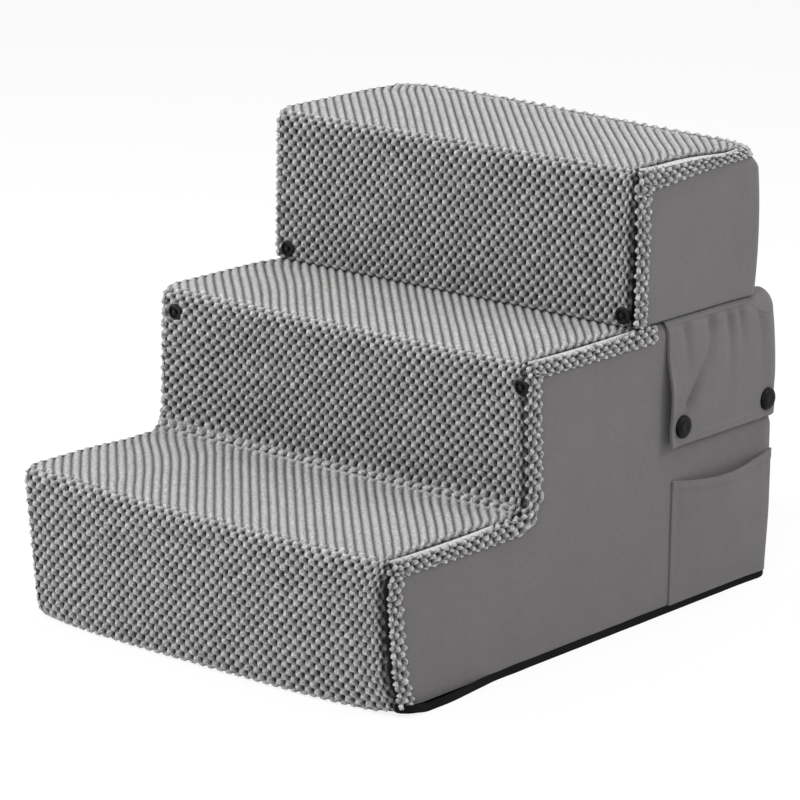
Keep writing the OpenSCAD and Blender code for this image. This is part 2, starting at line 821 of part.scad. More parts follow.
// Pull: a bar under the bail, two arms beside it and a rounded tab
module zip_pull(z, y) {
  arm_z = bail_w / 2 + slider_play;
  start = slider_l * 0.55;
  color(metal_colour) at_zip(z, y) translate([rest_x, pull_y, 0]) {
    translate([0, 0, -arm_z - pull_arm_w]) cylinder(r = pull_bar_r, h = 2 * (arm_z + pull_arm_w));
    for (s = [0, 1]) mirror([0, 0, s]) translate([-start - pull_arm_w, -pull_t / 2, arm_z])
      cube([start + pull_arm_w + pull_bar_r, pull_t, pull_arm_w]);
    translate([-start, pull_t / 2, 0]) rotate([90, 0, 0]) linear_extrude(pull_t) {
      translate([-pull_l + pull_w / 2, -pull_w / 2]) square([pull_l - pull_w / 2, pull_w]);
      translate([-pull_l + pull_w / 2, 0]) circle(pull_w / 2);
    }
  }
}

module base_zip_tape() { zip_tape(base_zip_z, back_y); }
module base_zip_teeth() { zip_teeth(base_zip_z, back_y); }
module base_zip_stops() { zip_stops(base_zip_z, back_y); }
module base_zip_slider() { zip_slider(base_zip_z, back_y); }
module base_zip_pull() { zip_pull(base_zip_z, back_y); }

// Loose block

block_panel_y = block_back_y - band_proud;
block_zip_z = block_z + block_zip_rise;

module block_zip_tape() { zip_tape(block_zip_z, block_panel_y); }
module block_zip_teeth() { zip_teeth(block_zip_z, block_panel_y); }
module block_zip_stops() { zip_stops(block_zip_z, block_panel_y); }
module block_zip_slider() { zip_slider(block_zip_z, block_panel_y); }
module block_zip_pull() { zip_pull(block_zip_z, block_panel_y); }

// The block's smooth form with rounded rear corners and foot, drawn in by a
module block_form(a) {
  front = block_y + plush_t;
  intersection() {
    translate([0, 0, block_z + a]) linear_extrude(block_h)
      rear_round_plan(side_x - a, front, block_panel_y - a, block_rear_r - band_proud - a);
    along_x(-outer_x, outer_x) {
      translate([front, block_z + block_foot_r]) square([block_d, block_h]);
      translate([front, block_z + a]) square([block_panel_y - block_foot_r - front, block_h]);
      translate([block_panel_y - block_foot_r, block_z + block_foot_r]) circle(block_foot_r - a);
    }
    translate([0, block_back_y, 0]) rotate([90, 0, 0]) linear_extrude(block_d) {
      translate([-outer_x, block_z + block_foot_r]) square([stair_w, block_h]);
      translate([-side_x + block_foot_r, block_z + a]) square([2 * (side_x - block_foot_r), block_h]);
      for (s = [-1, 1])
        translate([s * (side_x - block_foot_r), block_z + block_foot_r]) circle(block_foot_r - a);
    }
  }
}

module block_foam() {
  color(foam_colour) difference() {
    intersection() {
      block_form(panel_t);
      along_x(-foam_x, foam_x) polygon(concat(
        block_line(plush_t, block_panel_y),
        [[block_panel_y, block_z], [block_y + plush_t, block_z]]
      ));
    }
    zip_relief(block_zip_z, block_panel_y);
  }
}

// The block's smooth skin between two heights, behind its plush face
module block_skin(low_z, high_z) {
  intersection() {
    difference() {
      block_form(0);
      block_form(panel_t);
      translate([-foam_x, block_y, block_z + panel_t]) cube([2 * foam_x, plush_t + over, block_h]);
    }
    translate([-outer_x, block_y, low_z]) cube([stair_w, block_d, high_z - low_z]);
  }
}

// Bottom of the block, turned up round its foot, with room for the foot of the bands
module block_bottom_panel() {
  color(woven_colour) difference() {
    block_skin(block_z, block_z + block_foot_r);
    for (s = [0, 1]) mirror([s, 0, 0])
      translate([foam_x, block_y, block_z + plush_foot]) cube([outer_x, band_drop, block_h]);
  }
}

module block_side_panel() {
  color(woven_colour) intersection() {
    block_skin(block_z + block_foot_r, z_top - band_drop);
    translate([foam_x, block_y + band_drop, block_z])
      cube([outer_x, block_d - band_drop - block_rear_r, block_h]);
  }
}

module block_side_panel_right() { block_side_panel(); }

module block_side_panel_left() { mirror([1, 0, 0]) block_side_panel(); }

module block_back_panel() {
  color(woven_colour) difference() {
    intersection() {
      block_skin(block_z + block_foot_r, z_top - band_drop);
      translate([-outer_x, block_back_y - block_rear_r, block_z]) cube([stair_w, block_rear_r, block_h]);
    }
    zip_slot(block_zip_z, block_panel_y);
  }
}

module step_3_plush() {
  section = plush_section();
  lines = [for (p = section) block_line(p.y, block_back_y - seam_inset - seam_gap / 2)];
  color(plush_colour) loft(rings_along(section, lines, 0, len(lines[0]) - 1));
}

module block_band() {
  section = band_section();
  lines = [for (p = section) block_line(p.y, block_back_y - block_rear_r)];
  color(band_colour) loft(rings_along(section, lines, 0, len(lines[0]) - 1));
}

module block_band_right() { block_band(); }

module block_band_left() { mirror([1, 0, 0]) block_band(); }

// Band round the block's rear top edge and both rear corners
module block_band_rear() {
  section = band_section();
  lines = [for (p = section) rear_line(outer_x - p.x)];
  color(band_colour) loft([for (i = [0:len(lines[0]) - 1]) [
    for (k = [0:len(section) - 1]) [lines[k][i].x, lines[k][i].y, z_top - section[k].y]
  ]]);
}

module block_seam_tapes() {
  color(tape_colour) for (s = [0, 1]) mirror([s, 0, 0])
    seam_tape(block_y + tape_end_gap, block_back_y - block_rear_r, z_top);
}

lower_foam();
middle_foam();
anti_slip_base();
side_panel_right();
side_panel_left();
deck_panel();
back_panel();
step_1_plush();
step_2_plush();
side_band_right();
side_band_left();
tread_seam_tapes();
pocket_right();
flap_seam_strips();
side_studs();
side_stud_backs();
riser_2_studs();
base_zip_tape();
base_zip_teeth();
base_zip_stops();
base_zip_slider();
base_zip_pull();
flap_right();
flap_right_caps();
flap_right_sockets();
flap_left();
flap_left_caps();
flap_left_sockets();
block_foam();
block_bottom_panel();
block_side_panel_right();
block_side_panel_left();
block_back_panel();
step_3_plush();
block_band_right();
block_band_left();
block_band_rear();
block_seam_tapes();
block_studs();
block_zip_tape();
block_zip_teeth();
block_zip_stops();
block_zip_slider();
block_zip_pull();
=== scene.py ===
import math

import bmesh
import bpy
import numpy as np
from mathutils import Matrix, Vector, noise


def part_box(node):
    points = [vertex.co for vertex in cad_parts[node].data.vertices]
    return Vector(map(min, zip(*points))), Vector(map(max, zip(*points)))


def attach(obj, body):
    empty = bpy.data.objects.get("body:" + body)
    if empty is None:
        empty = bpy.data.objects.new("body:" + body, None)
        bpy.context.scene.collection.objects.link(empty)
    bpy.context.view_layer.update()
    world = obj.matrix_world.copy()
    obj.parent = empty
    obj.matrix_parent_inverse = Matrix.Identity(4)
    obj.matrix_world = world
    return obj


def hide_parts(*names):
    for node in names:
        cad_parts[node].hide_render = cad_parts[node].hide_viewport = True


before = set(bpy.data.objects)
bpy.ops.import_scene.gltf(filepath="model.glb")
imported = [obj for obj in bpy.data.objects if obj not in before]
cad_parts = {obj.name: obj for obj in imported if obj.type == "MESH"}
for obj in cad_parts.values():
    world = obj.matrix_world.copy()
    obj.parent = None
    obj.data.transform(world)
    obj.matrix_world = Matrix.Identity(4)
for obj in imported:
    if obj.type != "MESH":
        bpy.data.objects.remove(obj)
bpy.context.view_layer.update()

# Foam pet stairs in plush and woven covers. Lengths below are in millimetres, and mm turns them
# into Blender's metres when a mesh is made.
mm = 0.001


def boxOf(node):
    low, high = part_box(node)
    return np.array(low) / mm, np.array(high) / mm


# Places read from the frame, and the radii and runs that the frame's boxes don't give
stair = {
    "halfWidth": boxOf("side_band_right")[1][0],
    "sideX": boxOf("side_panel_right")[1][0],
    "rimTop": boxOf("side_panel_right")[0][2],
    "deckZ": boxOf("deck_panel")[1][2],
    "backY": boxOf("deck_panel")[1][1],
    "tuckY": boxOf("deck_panel")[0][1],
    "plushDepth": 7,
    "clothThickness": 2,
    "firstRun": 172,
    "lean": 17,
    "noseRadius": 12,
    "cornerRadius": 13,
    "rearRadius": 22,
    "deckEdgeRadius": 14,
    "footLift": 1,
    "seamInset": 8,
    "bandDrop": 15,
}
stair["firstZ"] = boxOf("lower_foam")[1][2] + stair["plushDepth"]
stair["firstNose"] = -stair["backY"]
stair["secondNose"] = stair["firstNose"] + stair["firstRun"]
stair["seamX"] = stair["halfWidth"] - stair["seamInset"]

block = {
    "frontY": boxOf("step_3_plush")[0][1],
    "footZ": boxOf("block_bottom_panel")[0][2],
    "topZ": boxOf("step_3_plush")[1][2],
    "backY": boxOf("block_band_rear")[1][1],
    "panelBackY": boxOf("block_back_panel")[1][1],
    "rearRadius": 16,
    "footRadius": 3.5,
}


# Helpers for meshes


def unit(v):
    return v / np.linalg.norm(v)


def smooth(low, high, x):
    t = np.clip((x - low) / (high - low), 0, 1)
    return t * t * (3 - 2 * t)


def linkPiece(name, data):
    piece = bpy.data.objects.new(name, data)
    bpy.context.scene.collection.objects.link(piece)
    return piece


def storeValues(mesh, name, values):
    stored = mesh.attributes.new(name, "FLOAT", "POINT")
    stored.data.foreach_set("value", np.ascontiguousarray(values, np.float32).ravel())


def linkMesh(name, points, faces, place=None, uv=None, fold=None):
    mesh = bpy.data.meshes.new(name)
    mesh.from_pydata((np.asarray(points) * mm).tolist(), [], faces)
    if place is not None:
        stored = mesh.attributes.new("place", "FLOAT_VECTOR", "POINT")
        stored.data.foreach_set("vector", np.asarray(place, np.float32).ravel())
    # A fold value is painted shade, by which a cloth's colour is darkened
    if fold is not None:
        storeValues(mesh, "fold", fold)
    if uv is not None:
        corners = np.empty(len(mesh.loops), np.int32)
        mesh.loops.foreach_get("vertex_index", corners)
        layer = mesh.uv_layers.new(name="cloth")
        layer.data.foreach_set("uv", (np.asarray(uv, np.float32) * mm)[corners].ravel())
    mesh.shade_smooth()
    return linkPiece(name, mesh)


# Applies a piece's modifiers
def bake(piece):
    graph = bpy.context.evaluated_depsgraph_get()
    made = bpy.data.meshes.new_from_object(piece.evaluated_get(graph), depsgraph=graph)
    piece.modifiers.clear()
    piece.data = made
    return piece


def cleanNormals(piece, merge=0.0):
    work = bmesh.new()
    work.from_mesh(piece.data)
    if merge:
        bmesh.ops.remove_doubles(work, verts=work.verts, dist=merge * mm)
    bmesh.ops.recalc_face_normals(work, faces=work.faces)
    work.to_mesh(piece.data)
    work.free()
    piece.data.shade_smooth()
    return piece


# Faces of a grid with m rows of n points, leaving out the cells for which skip is true
def gridFaces(m, n, start=0, skip=None):
    return [
        [start + i * n + j, start + i * n + j + 1, start + (i + 1) * n + j + 1, start + (i + 1) * n + j]
        for i in range(m - 1)
        for j in range(n - 1)
        if skip is None or not skip(i, j)
    ]


# Arc lengths along the rows and down the columns of a grid, for the weave
def gridPlace(rows):
    along = np.zeros(rows.shape[:2])
    down = np.zeros(rows.shape[:2])
    along[:, 1:] = np.cumsum(np.linalg.norm(np.diff(rows, axis=1), axis=2), axis=1)
    down[1:, :] = np.cumsum(np.linalg.norm(np.diff(rows, axis=0), axis=2), axis=0)
    along[:] = along.mean(axis=0)
    down[:] = down.mean(axis=1)[:, None]
    return np.stack([along, down], axis=2)


# Soft unevenness of stretched cloth, from fixed noise
def ripple(points, size, seed):
    flat = points.reshape(-1, 3)
    found = [noise.noise(Vector(p) / size + Vector((seed, 0, 0))) for p in flat]
    return np.array(found).reshape(points.shape[:-1])


clothMake = {"merge": 0.02, "sharpAngle": math.radians(50)}


# Which way a cloth faces, at a place of it
def upwards(place):
    return Vector((0, 0, 1))


def rearwards(place):
    return Vector((0, 1, 0))


def sidewards(sign):
    return lambda place: Vector((sign, 0, 0))


# One cloth piece made of grids that meet edge to edge, given a thickness inwards
def makeCloth(name, grids, outward, thickness, skips=None):
    points, faces, places = [], [], []
    start = 0
    for k, rows in enumerate(grids):
        m, n = rows.shape[:2]
        points.append(rows.reshape(-1, 3))
        places.append(gridPlace(rows).reshape(-1, 2))
        faces += gridFaces(m, n, start, skips[k] if skips else None)
        start += m * n
    piece = linkMesh(name, np.concatenate(points), faces, uv=np.concatenate(places))
    work = bmesh.new()
    work.from_mesh(piece.data)
    bmesh.ops.remove_doubles(work, verts=work.verts, dist=clothMake["merge"] * mm)
    bmesh.ops.recalc_face_normals(work, faces=work.faces)
    facing = 0
    for face in work.faces:
        facing += face.normal.dot(outward(face.calc_center_median() / mm)) * face.calc_area()
    if facing < 0:
        bmesh.ops.reverse_faces(work, faces=work.faces)
    work.to_mesh(piece.data)
    work.free()
    area = sum(p.area for p in piece.data.polygons)
    wall = piece.modifiers.new("wall", "SOLIDIFY")
    wall.thickness = thickness * mm
    wall.offset = -1
    bake(piece)
    piece.data.shade_smooth()
    piece.data.set_sharp_from_angle(angle=clothMake["sharpAngle"])
    return piece, area


# Helpers for node trees


def put(tree, kind, inputs=None, **settings):
    made = tree.nodes.new(kind)
    for name, value in settings.items():
        setattr(made, name, value)
    for key, value in (inputs or {}).items():
        if isinstance(value, bpy.types.NodeSocket):
            tree.links.new(value, made.inputs[key])
        else:
            made.inputs[key].default_value = value
    return made


def maths(tree, operation, *values, clamp=False):
    made = put(tree, "ShaderNodeMath", dict(enumerate(values)), operation=operation, use_clamp=clamp)
    return made.outputs[0]


def vectorMaths(tree, operation, *values):
    return put(tree, "ShaderNodeVectorMath", dict(enumerate(values)), operation=operation)


socketKinds = {float: "NodeSocketFloat", int: "NodeSocketInt", tuple: "NodeSocketVector"}


def addInputs(tree, values):
    for label, value in values.items():
        kind = socketKinds[type(value)]
        made = tree.interface.new_socket(name=label, in_out="INPUT", socket_type=kind)
        made.default_value = value


def groupEnds(tree):
    return tree, tree.nodes.new("NodeGroupInput").outputs, tree.nodes.new("NodeGroupOutput").inputs


# A shader group with named inputs, and outputs that are all numbers
def newGroup(name, inputs, outputs):
    tree = bpy.data.node_groups.new(name, "ShaderNodeTree")
    addInputs(tree, inputs)
    for label in outputs:
        tree.interface.new_socket(name=label, in_out="OUTPUT", socket_type="NodeSocketFloat")
    return groupEnds(tree)


# A tree that grows a mesh, with named inputs between the geometry and the material
def newGrowth(name, inputs):
    tree = bpy.data.node_groups.new(name, "GeometryNodeTree")
    for side in ("INPUT", "OUTPUT"):
        tree.interface.new_socket(name="Geometry", in_out=side, socket_type="NodeSocketGeometry")
    addInputs(tree, inputs)
    tree.interface.new_socket(name="Material", in_out="INPUT", socket_type="NodeSocketMaterial")
    return groupEnds(tree)


# Reads a value that a mesh keeps at its points
def keptValue(tree, name, kind="FLOAT"):
    return put(tree, "GeometryNodeInputNamedAttribute", {"Name": name}, data_type=kind).outputs[0]


def copiesOn(tree, points, copied, **others):
    inputs = {"Points": points, "Instance": copied, **others}
    return put(tree, "GeometryNodeInstanceOnPoints", inputs).outputs[0]


# The last nodes of every growing tree
def finishTree(tree, start, end, geometry):
    real = put(tree, "GeometryNodeRealizeInstances", {0: geometry}).outputs[0]
    dressed = put(tree, "GeometryNodeSetMaterial", {"Geometry": real, "Material": start["Material"]})
    tree.links.new(dressed.outputs[0], end["Geometry"])
    return tree


def growWith(piece, tree, values):
    growth = piece.modifiers.new(tree.name, "NODES")
    growth.node_group = tree
    sockets = {s.name: s.identifier for s in tree.interface.items_tree if s.in_out == "INPUT"}
    for name, value in values.items():
        growth[sockets[name]] = value
    return bake(piece)


# Finishes


def grainGroup():
    group, start, end = newGroup("fibreGrain", {"Size": 1000.0, "Depth": 0.3}, ["Mask", "Height"])
    place = put(group, "ShaderNodeTexCoord").outputs["Object"]
    fine = put(group, "ShaderNodeTexNoise", {"Vector": place, "Scale": start["Size"], "Detail": 3.0})
    broad = put(group, "ShaderNodeTexNoise", {"Vector": place, "Scale": 38.0, "Detail": 2.0})
    spread = maths(group, "MULTIPLY", maths(group, "SUBTRACT", fine.outputs["Fac"], 0.5), start["Depth"])
    patch = maths(group, "MULTIPLY", maths(group, "SUBTRACT", broad.outputs["Fac"], 0.5), 0.22)
    mask = maths(group, "ADD", 0.5, maths(group, "ADD", spread, patch), clamp=True)
    group.links.new(mask, end["Mask"])
    group.links.new(fine.outputs["Fac"], end["Height"])
    return group


def weaveGroup():
    group, start, end = newGroup("plainWeave", {"Pitch": 0.0006}, ["Thread", "Heather"])
    place = put(group, "ShaderNodeUVMap", uv_map="cloth").outputs[0]
    sides = put(group, "ShaderNodeSeparateXYZ", {0: place}).outputs
    waves = []
    for side in (sides[0], sides[1]):
        turn = maths(group, "MULTIPLY", maths(group, "DIVIDE", side, start["Pitch"]), math.pi)
        waves.append(maths(group, "SINE", turn))
    over = maths(group, "GREATER_THAN", maths(group, "MULTIPLY", waves[0], waves[1]), 0.0)
    warp = maths(group, "ABSOLUTE", waves[0])
    weft = maths(group, "ABSOLUTE", waves[1])
    thread = put(group, "ShaderNodeMix", {0: over, 2: warp, 3: weft}).outputs[0]
    stretched = []
    for stretch in ((1.0, 0.12, 1.0), (0.12, 1.0, 1.0)):
        at = vectorMaths(group, "MULTIPLY", place, stretch).outputs[0]
        stretched.append(put(group, "ShaderNodeTexNoise", {"Vector": at, "Scale": 1500.0, "Detail": 2.0}))
    heather = maths(group, "ADD", stretched[0].outputs["Fac"], stretched[1].outputs["Fac"])
    group.links.new(thread, end["Thread"])
    group.links.new(maths(group, "MULTIPLY", heather, 0.5), end["Heather"])
    return group


fibreGrain = grainGroup()
plainWeave = weaveGroup()


def newMaterial(name):
    made = bpy.data.materials.new(name)
    made.use_nodes = True
    tree = made.node_tree
    return made, tree, tree.nodes["Principled BSDF"]


def useGroup(tree, group, **values):
    made = tree.nodes.new("ShaderNodeGroup")
    made.node_tree = group
    for name, value in values.items():
        made.inputs[name].default_value = value
    return made.outputs


def bumpInto(tree, shader, height, strength, distance):
    raised = put(tree, "ShaderNodeBump", {"Height": height, "Strength": strength, "Distance": distance})
    tree.links.new(raised.outputs[0], shader.inputs["Normal"])


# Plush with a soft pile: its colour runs from near black in the pits to light on the crowns of the bumps,
# which is painted shade in the hollows
def plushMaterial(name, look):
    made, tree, shader = newMaterial(name)
    plushShade = put(tree, "ShaderNodeAttribute", attribute_name="plushShade").outputs["Fac"]
    grain = useGroup(tree, fibreGrain, Size=look["fibres"], Depth=look["contrast"])
    shade = put(tree, "ShaderNodeValToRGB", {0: plushShade})
    ramp = shade.color_ramp
    ramp.elements[0].color = (*[look["pit"]] * 3, 1)
    ramp.elements[1].color = (*[look["crown"] * c for c in look["tint"]], 1)
    for step in ("low", "middle", "high"):
        added = ramp.elements.new(look[step + "At"])
        added.color = (*[look[step] * c for c in look["tint"]], 1)
    gain = maths(tree, "ADD", grain["Mask"], 0.5)
    coloured = vectorMaths(tree, "SCALE", shade.outputs[0])
    tree.links.new(gain, coloured.inputs["Scale"])
    tree.links.new(coloured.outputs[0], shader.inputs["Base Color"])
    shader.inputs["Roughness"].default_value = 0.95
    shader.inputs["Specular IOR Level"].default_value = 0.15
    shader.inputs["Sheen Weight"].default_value = look["sheen"]
    shader.inputs["Sheen Roughness"].default_value = 0.45
    bumpInto(tree, shader, grain["Height"], 0.7, look["pile"] * mm)
    return made


# Woven cloth: threads from the piece's own flat pattern, with a heathered colour, darkened by painted
# shade where the piece keeps a fold value
def clothMaterial(name, colour, pitch, heather, roughness, bump, sheen=0.1, gloss=0.25):
    made, tree, shader = newMaterial(name)
    weave = useGroup(tree, plainWeave, Pitch=pitch * mm)
    grain = useGroup(tree, fibreGrain, Size=900.0, Depth=0.2)
    mottled = maths(tree, "MULTIPLY", maths(tree, "ADD", weave["Heather"], grain["Mask"]), 0.5)
    shade = put(tree, "ShaderNodeValToRGB", {0: mottled})
    ramp = shade.color_ramp
    ramp.elements[0].position = 0.38
    ramp.elements[1].position = 0.62
    ramp.elements[0].color = (*[c * (1 - heather) for c in colour], 1)
    ramp.elements[1].color = (*[c * (1 + heather) for c in colour], 1)
    # Painted shade: the colour darkened by the piece's fold value
    fold = put(tree, "ShaderNodeAttribute", attribute_name="fold").outputs["Fac"]
    dimmed = vectorMaths(tree, "SCALE", shade.outputs[0])
    tree.links.new(maths(tree, "SUBTRACT", 1.0, fold), dimmed.inputs["Scale"])
    tree.links.new(dimmed.outputs[0], shader.inputs["Base Color"])
    shader.inputs["Roughness"].default_value = roughness
    shader.inputs["Specular IOR Level"].default_value = gloss
    shader.inputs["Sheen Weight"].default_value = sheen
    shader.inputs["Sheen Roughness"].default_value = 0.5
    bumpInto(tree, shader, weave["Thread"], bump, 0.12 * mm)
    return made


# Moulded or painted: a fine grain in the gloss and the surface
def hardMaterial(name, colour, grainSize, roughness, bump=0.12, metallic=0.0, gloss=0.2):
    made, tree, shader = newMaterial(name)
    grain = useGroup(tree, fibreGrain, Size=grainSize, Depth=1.0)
    shade = put(tree, "ShaderNodeValToRGB", {0: grain["Mask"]})
    shade.color_ramp.elements[0].color = (*[c * 0.8 for c in colour], 1)
    shade.color_ramp.elements[1].color = (*[c * 1.2 for c in colour], 1)
    tree.links.new(shade.outputs[0], shader.inputs["Base Color"])
    spread = 0.12
    uneven = maths(tree, "MULTIPLY", grain["Mask"], spread)
    rough = maths(tree, "ADD", roughness - spread / 2, uneven)
    tree.links.new(rough, shader.inputs["Roughness"])
    shader.inputs["Metallic"].default_value = metallic
    shader.inputs["Specular IOR Level"].default_value = gloss
    bumpInto(tree, shader, grain["Height"], bump, 0.05 * mm)
    return made


# Foam: open cells, darker in their hollows, which is painted shade
def foamMaterial(name, colour):
    made, tree, shader = newMaterial(name)
    place = put(tree, "ShaderNodeTexCoord").outputs["Object"]
    cells = put(tree, "ShaderNodeTexVoronoi", {"Vector": place, "Scale": 700.0})
    shade = put(tree, "ShaderNodeValToRGB", {0: cells.outputs["Distance"]})
    shade.color_ramp.elements[0].color = (*[c * 0.7 for c in colour], 1)
    shade.color_ramp.elements[1].color = (*colour, 1)
    tree.links.new(shade.outputs[0], shader.inputs["Base Color"])
    shader.inputs["Roughness"].default_value = 0.95
    bumpInto(tree, shader, cells.outputs["Distance"], 0.6, 0.4 * mm)
    return made


tint = (1.0, 0.995, 0.985)
# Colours of the plush from its pits to its crowns; the dark lower end is painted shade in the pits
plushLook = {
    "pit": 0.006,
    "low": 0.024,
    "lowAt": 0.24,
    "middle": 0.19,
    "middleAt": 0.56,
    "high": 0.39,
    "highAt": 0.8,
    "crown": 0.5,
    "tint": tint,
    "fibres": 620.0,
    "contrast": 2.6,
    "sheen": 0.16,
    "pile": 0.8,
}
plushFinish = plushMaterial("plush", plushLook)
wovenFinish = clothMaterial(
    "woven", colour=(0.141, 0.134, 0.139), pitch=0.55, heather=0.16, roughness=0.9, bump=0.35, sheen=0.12
)
tapeFinish = clothMaterial(
    "seamTape", colour=(0.58, 0.58, 0.57), pitch=0.5, heather=0.1, roughness=0.7, bump=0.3
)
threadFinish = clothMaterial(
    "thread", colour=(0.2, 0.195, 0.2), pitch=0.3, heather=0.1, roughness=0.6, bump=0.2
)
zipTapeFinish = clothMaterial(
    "zipTape", colour=(0.08, 0.08, 0.08), pitch=0.5, heather=0.2, roughness=0.85, bump=0.4
)
nonSlipFinish = clothMaterial(
    "nonSlip",
    colour=(0.004, 0.004, 0.0043),
    pitch=0.6,
    heather=0.25,
    roughness=0.8,
    bump=0.4,
    sheen=0.0,
    gloss=0.08,
)
gripFinish = hardMaterial(
    "gripDots", colour=(0.02, 0.02, 0.021), grainSize=900.0, roughness=0.6, bump=0.2
)
capFinish = hardMaterial(
    "studCap", colour=(0.003, 0.003, 0.0033), grainSize=1200.0, roughness=0.5, gloss=0.12
)
studFinish = hardMaterial("stud", colour=(0.008, 0.008, 0.009), grainSize=1000.0, roughness=0.42)
washerFinish = hardMaterial(
    "washer", colour=(0.05, 0.05, 0.055), grainSize=800.0, roughness=0.5, bump=0.1
)
teethFinish = hardMaterial(
    "zipTeeth", colour=(0.07, 0.07, 0.075), grainSize=900.0, roughness=0.45, bump=0.1
)
pullFinish = hardMaterial(
    "zipPull", colour=(0.06, 0.06, 0.065), grainSize=600.0, roughness=0.35, bump=0.1, metallic=0.6
)
foamFinish = foamMaterial("foam", (0.88, 0.85, 0.74))
print("finishes made")


# The soft shape that the stuffed covers take: how far each place moves from the straight form
shape = {
    "leftFrom": -110,
    "footBulge": 14.5,
    "rightShare": 0.72,
    "cornerIn": 5.0,
    "noseBulge": 3.0,
    "leftOut": 6.5,
    "leftFootOut": 4.0,
    "leftHigh": 3.3,
    "blockLeftOut": 2.5,
    "blockRearSag": 6.0,
    "blockPanelOut": 4.2,
    "blockCornerIn": 9.0,
    "bandTaper": 12.0,
    "cornerLift": 3.5,
    "rearOut": 4.2,
    "rearFootOut": 2.2,
    "cornerCut": 15.0,
}


def baseField(p):
    x, y, z = p[:, 0], p[:, 1], p[:, 2]
    firstZ, deckZ, noseY, nextY = stair["firstZ"], stair["deckZ"], stair["firstNose"], stair["secondNose"]
    share = np.clip(np.abs(x) / stair["halfWidth"], 0, 1)
    pillow = 1 - share**4
    drop = np.clip((firstZ - z) / firstZ, 0, 1)
    front = 1 - smooth(noseY + 17, noseY + 120, y)
    move = np.zeros_like(p)
    move[:, 1] -= (shape["footBulge"] * drop + shape["noseBulge"] * (1 - drop)) * pillow * front
    above = np.clip((deckZ - z) / (deckZ - firstZ), 0, 1)
    second = np.where(z >= firstZ, above, smooth(50, firstZ, z))
    near = smooth(nextY - 85, nextY - 5, y) * (1 - smooth(nextY + 20, nextY + 130, y))
    toLeft = 1 - smooth(60, stair["halfWidth"], x)
    move[:, 1] -= shape["footBulge"] * (toLeft + shape["rightShare"] * (1 - toLeft)) * second * near
    left = 1 - smooth(-stair["halfWidth"], shape["leftFrom"], x)
    fade = 1 - smooth(20, 80, y)
    move[:, 0] -= (shape["leftOut"] + shape["leftFootOut"] * second * near) * left * fade
    wideLeft = 1 - smooth(-170, -40, x)
    raised = np.where(y < nextY, smooth(0, firstZ, z), smooth(0, firstZ, z) * (0.25 + 0.75 * above))
    calm = 1 - 0.95 * smooth(noseY + 70, nextY - 20, y) * (z < firstZ + 6)
    move[:, 2] += shape["leftHigh"] * wideLeft * raised * fade * calm
    cut = 1 - np.sqrt(np.clip(1 - (1 - np.clip(z / shape["cornerCut"], 0, 1)) ** 2, 0, 1))
    move[:, 0] += shape["cornerCut"] * 0.8 * cut * left * front
    rearward = smooth(stair["backY"] - 46, stair["backY"] - 12, y)
    rear = rearward * smooth(130, 185, np.abs(x)) * (1 - smooth(138, 157, z))
    atFoot = shape["rearFootOut"]
    swell = (atFoot + (shape["rearOut"] - atFoot) * smooth(0, 70, z)) * rear
    move[:, 0] += swell * 0.75 * np.sign(x)
    move[:, 1] += swell * 0.66
    waist = smooth(110, stair["halfWidth"], x) * (1 - smooth(noseY + 12, noseY + 75, y))
    move[:, 0] -= shape["cornerIn"] * waist * smooth(4, 40, z) * (1 - smooth(95, 126, z))
    rightFoot = smooth(168, stair["halfWidth"], x) * (1 - smooth(noseY + 20, noseY + 45, y))
    move[:, 2] += shape["cornerLift"] * rightFoot * (1 - smooth(0, 26, z))
    return move


def blockField(p):
    x, y, z = p[:, 0], p[:, 1], p[:, 2]
    move = np.zeros_like(p)
    left = 1 - smooth(-stair["halfWidth"], shape["leftFrom"], x)
    move[:, 0] -= shape["blockLeftOut"] * left
    high = smooth(block["footZ"], block["topZ"], z)
    rearward = smooth(block["frontY"] + 60, block["backY"], y)
    move[:, 2] -= shape["blockRearSag"] * smooth(-150, stair["halfWidth"], x) * rearward * high
    lift = np.clip((z - block["footZ"] + 20) / (block["topZ"] - block["footZ"] + 20), 0, 1)
    body = np.clip(np.sin(np.pi * lift), 0, 1) ** 0.7
    corner = smooth(168, 194, np.abs(x)) * smooth(block["backY"] - 45, block["backY"] - 12, y)
    move[:, 1] += shape["blockPanelOut"] * corner * body
    move[:, 0] += shape["blockPanelOut"] * corner * body * np.sign(x) * 0.7
    tight = smooth(155, 196, np.abs(x)) * smooth(block["backY"] - 60, block["backY"], y)
    pulled = shape["blockCornerIn"] * tight * smooth(block["topZ"] - 20, block["topZ"], z)
    move[:, 1] -= pulled * 0.8
    move[:, 0] -= pulled * 0.8 * np.sign(x)
    return move


# The block's bands hang lower at the front than at the rear
def bandField(p):
    below = np.clip(block["topZ"] - p[:, 2], 0, stair["bandDrop"] + 2) / stair["bandDrop"]
    run = smooth(block["frontY"] + 10, block["backY"] - 10, p[:, 1]) - 0.42
    move = np.zeros_like(p)
    move[:, 2] = shape["bandTaper"] * run * below * smooth(block["topZ"] - 22, block["topZ"] - 17, p[:, 2])
    return move


fields = {"base": baseField, "block": blockField}


# Moves a piece's points by a field
def shapeTo(piece, field):
    count = len(piece.data.vertices)
    points = np.empty(count * 3, np.float32)
    piece.data.vertices.foreach_get("co", points)
    points = points.reshape(-1, 3) / mm
    points = (points + field(points)) * mm
    piece.data.vertices.foreach_set("co", points.ravel().astype(np.float32))
    piece.data.update()


def paint(piece, material):
    piece.data.materials.clear()
    piece.data.materials.append(material)


# Gives a finished piece its soft shape and finish, puts it under its body, and hides the solids it stands
# for
def settle(piece, material, body, nodes=()):
    if body in fields:
        shapeTo(piece, fields[body])
    if material:
        paint(piece, material)
    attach(piece, body)
    if nodes:
        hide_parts(*nodes)
    return piece


# Lines of the steps


